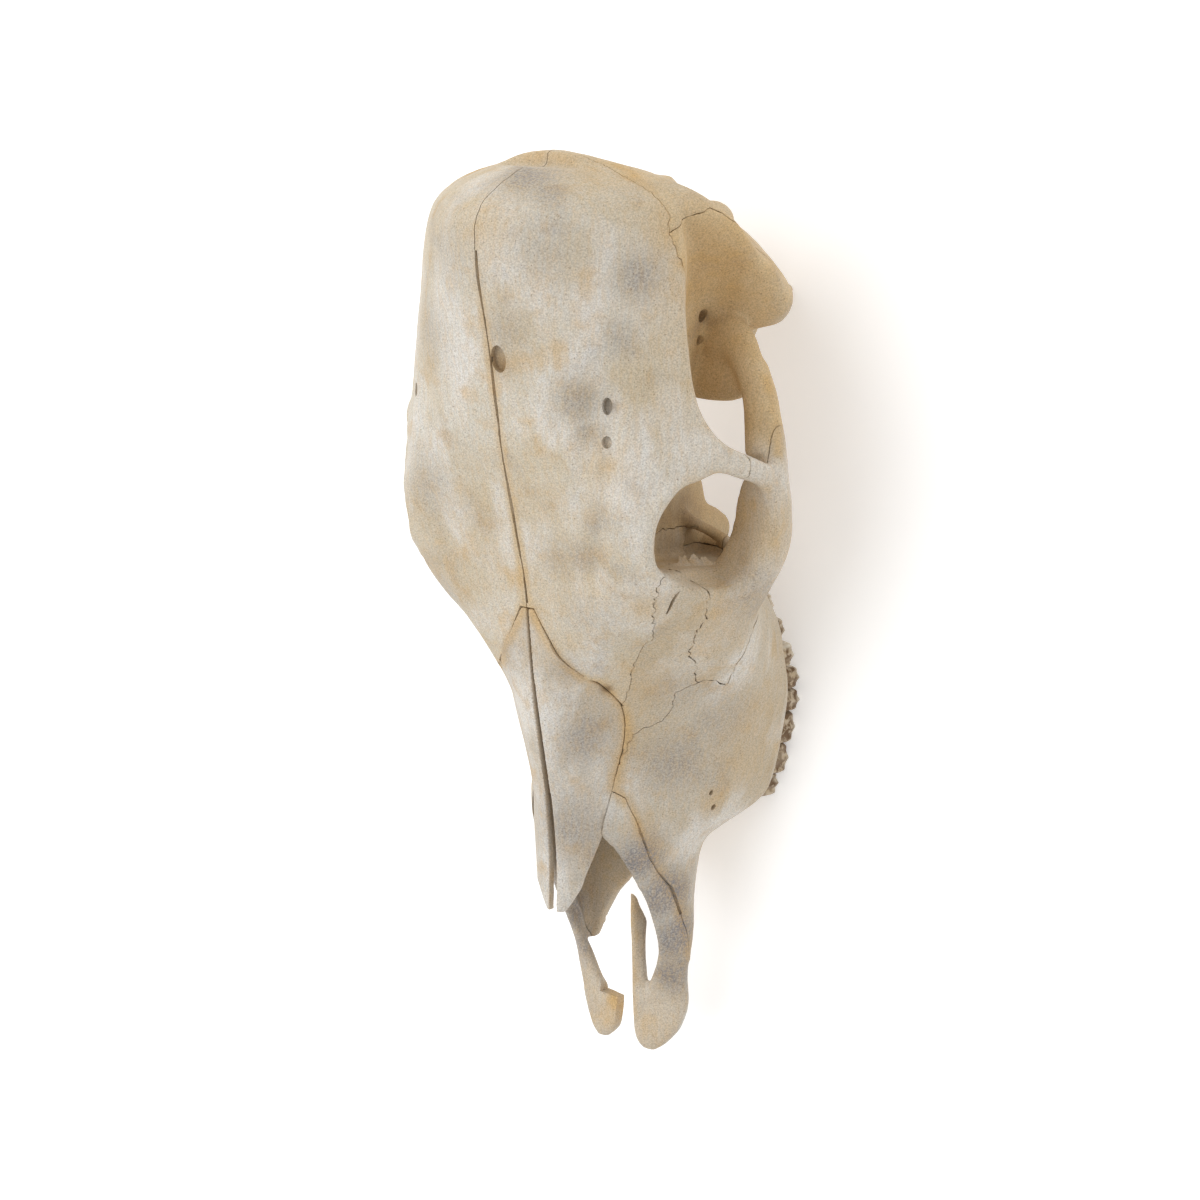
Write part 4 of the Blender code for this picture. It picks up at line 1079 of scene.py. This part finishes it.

# %% [markdown]
# ## Ageing and shade painted on the vertices
# Old bone is pale where it was washed by the sun and tan where it was sheltered. Smudges of grey come from
# soil. Faces that point down are painted tan too. Painted shade is tan on the inner walls of the nose and
# brown in the recesses: in the orbits, the nose, the holes and a crack. The three amounts are painted as one
# colour attribute: red for tan, green for grey and blue for the brown shade. Each spot is a place, a radius
# and a strength; a spot marked both is painted on the two sides. Tan also gathers along the sutures, so a
# second table gives lines with a width and a strength.

# %% Ageing and painted shade
BOTH, LEFT = True, False
TAN_SPOTS = (
    ((74, 190, 120), 40, 1.0, BOTH), ((60, 150, 110), 38, 0.8, BOTH), ((92, 130, 103), 26, 0.6, BOTH),
    ((0, 240, 90), 75, 0.6, BOTH), ((30, 200, 40), 60, 0.6, BOTH), ((66, 70, 115), 34, 0.8, BOTH),
    ((104, 66, 104), 22, 0.4, BOTH), ((45, 236, 150), 22, 0.5, BOTH), ((66, 30, 150), 12, 0.35, BOTH),
    ((80, 20, 108), 26, 0.3, BOTH), ((45, -15, 122), 18, 0.3, BOTH), ((70, 205, 160), 13, 0.55, LEFT),
    ((24, 238, 165), 22, 0.35, BOTH), ((0, 60, 80), 60, 0.8, BOTH), ((0, -20, 34), 60, 0.6, BOTH),
    ((57, -84, 62), 9, 0.6, LEFT), ((74, -40, 60), 22, 0.3, BOTH), ((72, -70, 50), 14, 0.45, BOTH),
    ((6, 205, 211), 14, 0.3, LEFT), ((88, 55, 160), 14, 0.3, BOTH), ((52, 96, 176), 10, 0.35, LEFT),
    ((6, -222, 44), 10, 0.35, LEFT), ((-10, -222, 44), 14, 0.6, LEFT),
)
TAN_LINES = (
    (
        ((34, -82, 105), (36, -105, 94), (38, -123, 82), (39, -137, 68), (39, -152, 58), (37, -179, 45)),
        3.8, 1.0,
    ),
    (((36, -32, 120), (35, -46, 114), (26, -76, 111), (31, -84, 106)), 3.5, 0.8),
    (((36, -32, 120), (33, -17, 137), (24, -14, 144), (10, 4, 155), (2, 19, 158)), 3, 0.7),
    (((2, 19, 158), (1, 60, 172), (1, 120, 192), (1, 160, 204), (0, 205, 212)), 2.2, 0.5),
    (((4, 238, 163), (34, 235, 150), (47, 230, 152), (65, 214, 160), (75, 192, 154)), 4, 0.5),
    (((6, -215, 47), (7, -180, 53), (7, -140, 57)), 5, 0.8),
    (((97, 139, 104), (104, 120, 104), (104, 97, 104), (97, 92, 104)), 3, 0.6),
)
GREY_SPOTS = (
    ((63, 186, 172), 11, 0.75, LEFT), ((60, 158, 179), 8, 0.5, LEFT), ((43, 127, 187), 12, 0.65, LEFT),
    ((48, 112, 183), 8, 0.5, LEFT), ((11, 157, 203), 12, 0.45, LEFT), ((-43, 153, 191), 18, 0.4, LEFT),
    ((-54, 77, 176), 18, 0.4, LEFT), ((10, 229, 190), 16, 0.75, LEFT), ((24, 222, 192), 10, 0.5, LEFT),
    ((20, -49, 131), 12, 0.6, LEFT),
    ((10, -99, 124), 18, 0.55, LEFT), ((33, -116, 92), 14, 1.2, BOTH), ((36, -138, 72), 15, 1.4, BOTH),
    ((36, -165, 57), 15, 1.3, BOTH), ((32, -186, 50), 13, 0.9, BOTH), ((48, -62, 90), 18, 0.6, LEFT),
    ((95, 30, 92), 16, 0.4, LEFT), ((66, -38, 76), 18, 0.35, LEFT), ((24, 47, 167), 12, 0.35, LEFT),
    ((52, 71, 172), 10, 0.35, LEFT), ((56, -20, 100), 14, 0.3, LEFT), ((-20, 190, 210), 20, 0.35, LEFT),
    ((30, 195, 203), 16, 0.3, LEFT), ((-60, 20, 152), 16, 0.35, LEFT), ((36, 20, 157), 14, 0.3, LEFT),
)
# Brown painted shade in the recesses: inside the orbits and the nose, in the nerve holes, the spinal hole and a
# crack.
BROWN_SHADE_SPOTS = (
    ((50, 62, 96), 26, 0.6, BOTH), ((40, 40, 80), 20, 0.6, BOTH), ((70, 128, 128), 10, 0.3, BOTH),
    ((59, 167, 108), 4, 0.7, BOTH), ((55, 125, 175), 3.5, 0.8, LEFT), ((0, 210, 68), 18, 0.8, BOTH),
    ((0, -40, 70), 26, 0.4, BOTH), ((33, -20, 133), 3, 0.9, LEFT), ((60, 52, 100), 15, 0.8, BOTH),
    ((64, 60, 92), 12, 0.7, BOTH),
)
# The floor of the bolt hole is painted tan and brown as shade.
HOLE_FLOOR = ((5.5, 142, 191), 6.5, 1.3, LEFT)


def lines_on(places, lines):
    amount = np.zeros(len(places))
    for path, width, strength in lines:
        amount = np.maximum(amount, strength * np.exp(-((distance_to_path(places, path) / width) ** 2)))
    return amount


def spots_on(places, spots):
    amount = np.zeros(len(places))
    for centre, radius, strength, both in spots:
        sides = (1, -1) if both else (1,)
        for side in sides:
            away = np.linalg.norm(places - np.array((side * centre[0], centre[1], centre[2])), axis=1)
            amount = np.maximum(amount, strength * np.exp(-((away / radius) ** 2)))
    return amount


def paint(piece, tan, grey, brown):
    layer = piece.data.color_attributes.new("ageing_and_shade", "FLOAT_COLOR", "POINT")
    values = np.stack([tan, grey, brown, np.ones(len(tan))], axis=1)
    layer.data.foreach_set("color", np.clip(values, 0, 1).ravel())


def inside_nose_shade(places, normals):
    """1 on the inner walls of the nose, where a little tan is painted as shade, 0 elsewhere."""
    inward = -normals[:, 0] * np.sign(places[:, 0]) > 0.25
    upward = (normals[:, 2] > 0.3) & (places[:, 2] < 60)
    deep = (places[:, 1] < 12) & (places[:, 2] > 34) & (np.abs(places[:, 0]) < 44)
    return ((inward | upward) & deep).astype(float)


for name, bone in bones.items():
    places = coordinates(bone)
    normals = vertex_values(bone, "normal")
    facing = normals[:, 0] * np.sign(places[:, 0])
    # Tan is painted as shade on the inner walls of the nose and on the inner faces of the nasal bones.
    nose = 0.9 * (facing < -0.6) if "nasal" in name else inside_nose_shade(places, normals)
    # Faces that point down are painted tan as well.
    under = 0.35 * (normals[:, 2] < -0.5)
    # Painted shade on the floor of the bolt hole.
    hole = spots_on(places, (HOLE_FLOOR,))
    sheltered = spots_on(places, TAN_SPOTS) + lines_on(places, TAN_LINES) + under
    # Red is tan, partly painted shade; green is grey soil; blue is brown painted shade in the recesses.
    paint(
        bone, np.maximum(sheltered, 0.3 * nose) + hole, spots_on(places, GREY_SPOTS),
        spots_on(places, BROWN_SHADE_SPOTS) + 0.8 * hole,
    )

for tag, shell in bullae.items():
    places = coordinates(shell)
    edge = np.clip(0.3 + 0.3 * np.array([noise.noise(Vector(place) / 5) for place in places]), 0, 1)
    paint(shell, edge, np.zeros(len(places)), np.zeros(len(places)))

for row in teeth.values():
    places = coordinates(row)
    foot = np.array([value_at(CHEWING_HEIGHT, y)[0] for y in places[:, 1]])
    wander = np.array([noise.noise(Vector(place) / 4) for place in places])
    grime = np.clip((places[:, 2] - foot - 0.6 + 3 * wander) / 2.5, 0, 1)
    paint(row, grime, np.zeros(len(places)), grime * np.clip(0.9 + 0.9 * wander, 0, 1))

# %% [markdown]
# ## Bone finish
# The finish reads Object coordinates, which are metres here. Large clouds mix ivory and cream, the painted
# attribute brings tan and grey ageing, painted tan shade in the nose and brown painted shade in the
# recesses, streaks run along the skull as the bone's fibres do, and fine pores darken it. The same pores
# and fibres lift the surface a little through a bump.

# %% Bone finish
WHITE = (0.70, 0.675, 0.63, 1)
IVORY = (0.61, 0.57, 0.49, 1)
CREAM = (0.56, 0.48, 0.355, 1)
TAN = (0.58, 0.39, 0.18, 1)
GREY = (0.25, 0.235, 0.235, 1)
BROWN = (0.13, 0.07, 0.028, 1)


class Finish:
    """A material with short ways to add its nodes."""

    def __init__(self, name):
        self.material = bpy.data.materials.new(name)
        self.material.use_nodes = True
        self.nodes = self.material.node_tree.nodes
        self.links = self.material.node_tree.links
        self.shader = self.nodes["Principled BSDF"]
        self.place = self.nodes.new("ShaderNodeTexCoord").outputs["Object"]

    def stretched(self, scale):
        mapping = self.nodes.new("ShaderNodeMapping")
        mapping.inputs["Scale"].default_value = scale
        self.links.new(self.place, mapping.inputs["Vector"])
        return mapping.outputs["Vector"]

    def clouds(self, scale, detail, vector=None):
        made = self.nodes.new("ShaderNodeTexNoise")
        made.inputs["Scale"].default_value = scale
        made.inputs["Detail"].default_value = detail
        self.links.new(vector or self.place, made.inputs["Vector"])
        return made.outputs["Fac"]

    def ramp(self, value, low, high, to_low=0.0, to_high=1.0):
        made = self.nodes.new("ShaderNodeMapRange")
        made.inputs["From Min"].default_value = low
        made.inputs["From Max"].default_value = high
        made.inputs["To Min"].default_value = to_low
        made.inputs["To Max"].default_value = to_high
        self.links.new(value, made.inputs["Value"])
        return made.outputs["Result"]

    def maths(self, operation, a, b):
        made = self.nodes.new("ShaderNodeMath")
        made.operation = operation
        for socket, value in zip(made.inputs, (a, b)):
            if isinstance(value, (int, float)):
                socket.default_value = value
            else:
                self.links.new(value, socket)
        return made.outputs[0]

    def mix(self, amount, first, second, blend="MIX"):
        made = self.nodes.new("ShaderNodeMix")
        made.data_type = "RGBA"
        made.blend_type = blend
        for socket, value in ((made.inputs[0], amount), (made.inputs[6], first), (made.inputs[7], second)):
            if isinstance(value, (int, float, tuple)):
                socket.default_value = value
            else:
                self.links.new(value, socket)
        return made.outputs[2]

    def painted(self):
        # The painted attribute holds the ageing and the painted shade.
        layer = self.nodes.new("ShaderNodeAttribute")
        layer.attribute_name = "ageing_and_shade"
        parts = self.nodes.new("ShaderNodeSeparateColor")
        self.links.new(layer.outputs["Color"], parts.inputs["Color"])
        return parts.outputs

    def bump(self, height, strength, distance):
        made = self.nodes.new("ShaderNodeBump")
        made.inputs["Strength"].default_value = strength
        made.inputs["Distance"].default_value = distance
        self.links.new(height, made.inputs["Height"])
        self.links.new(made.outputs["Normal"], self.shader.inputs["Normal"])


def bone_finish(name, pale, sheltered):
    finish = Finish(name)
    tan, grey, brown = finish.painted()
    broad = finish.clouds(20, 4)
    patch = finish.clouds(75, 6)
    fibres = finish.clouds(560, 3, finish.stretched((1, 0.2, 1)))
    pores = finish.clouds(1100, 2)
    speck = finish.clouds(900, 4)
    grain = finish.clouds(1300, 2)
    colour = finish.mix(finish.ramp(broad, 0.36, 0.64), pale, sheltered)
    washed = finish.ramp(finish.clouds(34, 5, finish.stretched((1, 0.45, 1))), 0.46, 0.6)
    washed = finish.maths("MULTIPLY", washed, finish.ramp(grey, 0, 0.5, 1, 0))
    bleached = finish.maths("MULTIPLY", washed, finish.ramp(tan, 0, 0.4, 0.9, 0))
    colour = finish.mix(bleached, colour, WHITE)
    colour = finish.mix(finish.ramp(patch, 0.54, 0.72, 0, 0.45), colour, TAN)
    # The painted tan: sheltered bone, and painted shade in the nose and the bolt hole.
    painted_tan_and_shade = finish.maths("MULTIPLY", tan, finish.ramp(patch, 0.25, 0.62, 0.55, 1.1))
    colour = finish.mix(painted_tan_and_shade, colour, TAN)
    drift = finish.maths("ADD", grey, finish.ramp(finish.clouds(38, 6), 0.55, 0.75, 0, 0.4))
    smudge = finish.maths("MULTIPLY", drift, finish.ramp(speck, 0.4, 0.57, 0.4, 1.0))
    colour = finish.mix(finish.maths("MULTIPLY", smudge, 0.95), colour, GREY)
    # Brown painted shade in the recesses, broken up by the patches.
    recess_shade = finish.maths("MULTIPLY", brown, finish.ramp(patch, 0.3, 0.6, 0.6, 1.0))
    colour = finish.mix(recess_shade, colour, BROWN)
    colour = finish.mix(finish.ramp(fibres, 0.3, 0.6, 0.28, 0), colour, TAN)
    colour = finish.mix(finish.ramp(pores, 0.27, 0.38, 0.5, 0), colour, BROWN)
    colour = finish.mix(1.0, colour, finish.ramp(grain, 0.35, 0.65, 0.8, 1.1), "MULTIPLY")
    finish.links.new(colour, finish.shader.inputs["Base Color"])
    finish.links.new(finish.ramp(patch, 0.3, 0.7, 0.62, 0.82), finish.shader.inputs["Roughness"])
    finish.shader.inputs["Specular IOR Level"].default_value = 0.3
    finish.shader.inputs["Subsurface Weight"].default_value = 0.06
    finish.shader.inputs["Subsurface Radius"].default_value = (0.003, 0.0018, 0.001)
    relief = finish.maths("ADD", finish.maths("MULTIPLY", fibres, 0.5), finish.maths("MULTIPLY", pores, 0.4))
    finish.bump(relief, 0.45, 0.0004)
    return finish.material


# %% [markdown]
# ## Tooth finish
# Worn enamel is white at the chewing edge. Above it the crown of an old tooth is covered by a dark brown
# crust that breaks off in flakes.

# %% Tooth finish
ENAMEL = (0.72, 0.68, 0.58, 1)
WORN_ENAMEL = (0.55, 0.46, 0.33, 1)
GRIME = (0.42, 0.29, 0.15, 1)
CRUST = (0.14, 0.075, 0.03, 1)


def tooth_finish(name):
    finish = Finish(name)
    grime, _, crust = finish.painted()
    flakes = finish.clouds(260, 5)
    lines = finish.clouds(500, 3, finish.stretched((1, 1, 0.15)))
    colour = finish.mix(finish.ramp(lines, 0.3, 0.7), ENAMEL, WORN_ENAMEL)
    colour = finish.mix(finish.maths("MULTIPLY", grime, 0.55), colour, GRIME)
    flaked = finish.maths("MULTIPLY", crust, finish.ramp(flakes, 0.4, 0.52))
    colour = finish.mix(flaked, colour, CRUST)
    finish.links.new(colour, finish.shader.inputs["Base Color"])
    finish.shader.inputs["Roughness"].default_value = 0.55
    finish.shader.inputs["Specular IOR Level"].default_value = 0.25
    finish.bump(finish.maths("ADD", flakes, lines), 0.4, 0.0005)
    return finish.material


# %% [markdown]
# ## Dressing the bones
# Each bone stands for the plain one of the frame, rides with the skull and takes the finish of its kind.
# The forehead and nose are palest, the braincase and the base are warmer.

# %% Materials and pieces
CHEEK = ((0.55, 0.495, 0.405, 1), (0.51, 0.43, 0.315, 1))
TONES = {
    "frontal": (IVORY, CREAM),
    "nasal": ((0.55, 0.51, 0.445, 1), (0.49, 0.42, 0.325, 1)),
    "premaxilla": ((0.59, 0.56, 0.50, 1), (0.53, 0.48, 0.40, 1)),
    "maxilla": CHEEK,
    "lacrimal": CHEEK,
    "zygomatic": CHEEK,
    "temporal": ((0.64, 0.53, 0.37, 1), (0.60, 0.47, 0.29, 1)),
    "occiput": ((0.62, 0.54, 0.41, 1), (0.57, 0.47, 0.32, 1)),
    "skull_base": ((0.56, 0.46, 0.31, 1), (0.50, 0.38, 0.23, 1)),
}
finishes = {kind: bone_finish(f"{kind}_bone", *tones) for kind, tones in TONES.items()}
enamel = tooth_finish("stained_enamel")


LOW, HIGH = (np.array(corner) / MM for corner in cad_box)
SKIN = 0.05


def settle(piece, finish):
    """Moves a piece's mesh to its place in the frame, inside the frame's box, and gives it its finish."""
    places = coordinates(piece) + (0, CENTRING, 0)
    put_back(piece, np.clip(places, LOW + SKIN, HIGH - SKIN))
    piece.data.materials.clear()
    piece.data.materials.append(finish)
    piece.data.shade_smooth()
    piece.data.set_sharp_from_angle(angle=math.radians(50))
    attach(piece, "root")


for name, bone in bones.items():
    kind = name.replace("_left", "").replace("_right", "")
    bone.name = f"{name}_bone"
    settle(bone, finishes[kind])
    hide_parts(name)
for tag, row in teeth.items():
    row.name = f"teeth_{tag}"
    settle(row, enamel)
for tag, shell in bullae.items():
    shell.name = f"bulla_{tag}"
    settle(shell, finishes["lacrimal"])

# %% [markdown]
# ## Floor and light
# The skull lies on a plain pale floor that glows a little, as a light table does. Soft light comes mostly
# from above and from the animal's right, so the forehead is bright and the left cheek lies in gentle shade.

# %% Floor and light
FLOOR_GLOW = 0.3
SKY_GLOW = 0.72

floor_mesh = bmesh.new()
bmesh.ops.create_grid(floor_mesh, x_segments=1, y_segments=1, size=6)
floor = piece_of(floor_mesh, "floor")
pale = Finish("pale_floor")
for socket, value in (
    ("Base Color", (0.93, 0.93, 0.93, 1)), ("Roughness", 0.9), ("Emission Color", (1, 1, 1, 1)),
    ("Emission Strength", FLOOR_GLOW),
):
    pale.shader.inputs[socket].default_value = value
floor.data.materials.append(pale.material)

world = bpy.data.worlds.new("studio")
world.use_nodes = True
world.node_tree.nodes["Background"].inputs["Color"].default_value = (1, 1, 1, 1)
world.node_tree.nodes["Background"].inputs["Strength"].default_value = SKY_GLOW
bpy.context.scene.world = world
bpy.context.scene.view_settings.view_transform = "Standard"


def soft_light(name, place, size, watts):
    lamp = bpy.data.lights.new(name, "AREA")
    lamp.shape = "DISK"
    lamp.size = size
    lamp.energy = watts
    holder = bpy.data.objects.new(name, lamp)
    bpy.context.scene.collection.objects.link(holder)
    aim = Vector(place).to_track_quat("Z", "Y").to_matrix().to_4x4()
    holder.matrix_world = Matrix.Translation(place) @ aim


soft_light("key_light", (-1.1, 0.7, 2.6), 4.2, 58)

# %% [markdown]
# ## The frame's box
# The dressed skull stays inside the box of the fixed frame, because each piece is clipped to it as it is
# settled. The frame's box is printed.

# %% Sizes
print("frame box:", [[round(c, 4) for c in v] for v in cad_box])
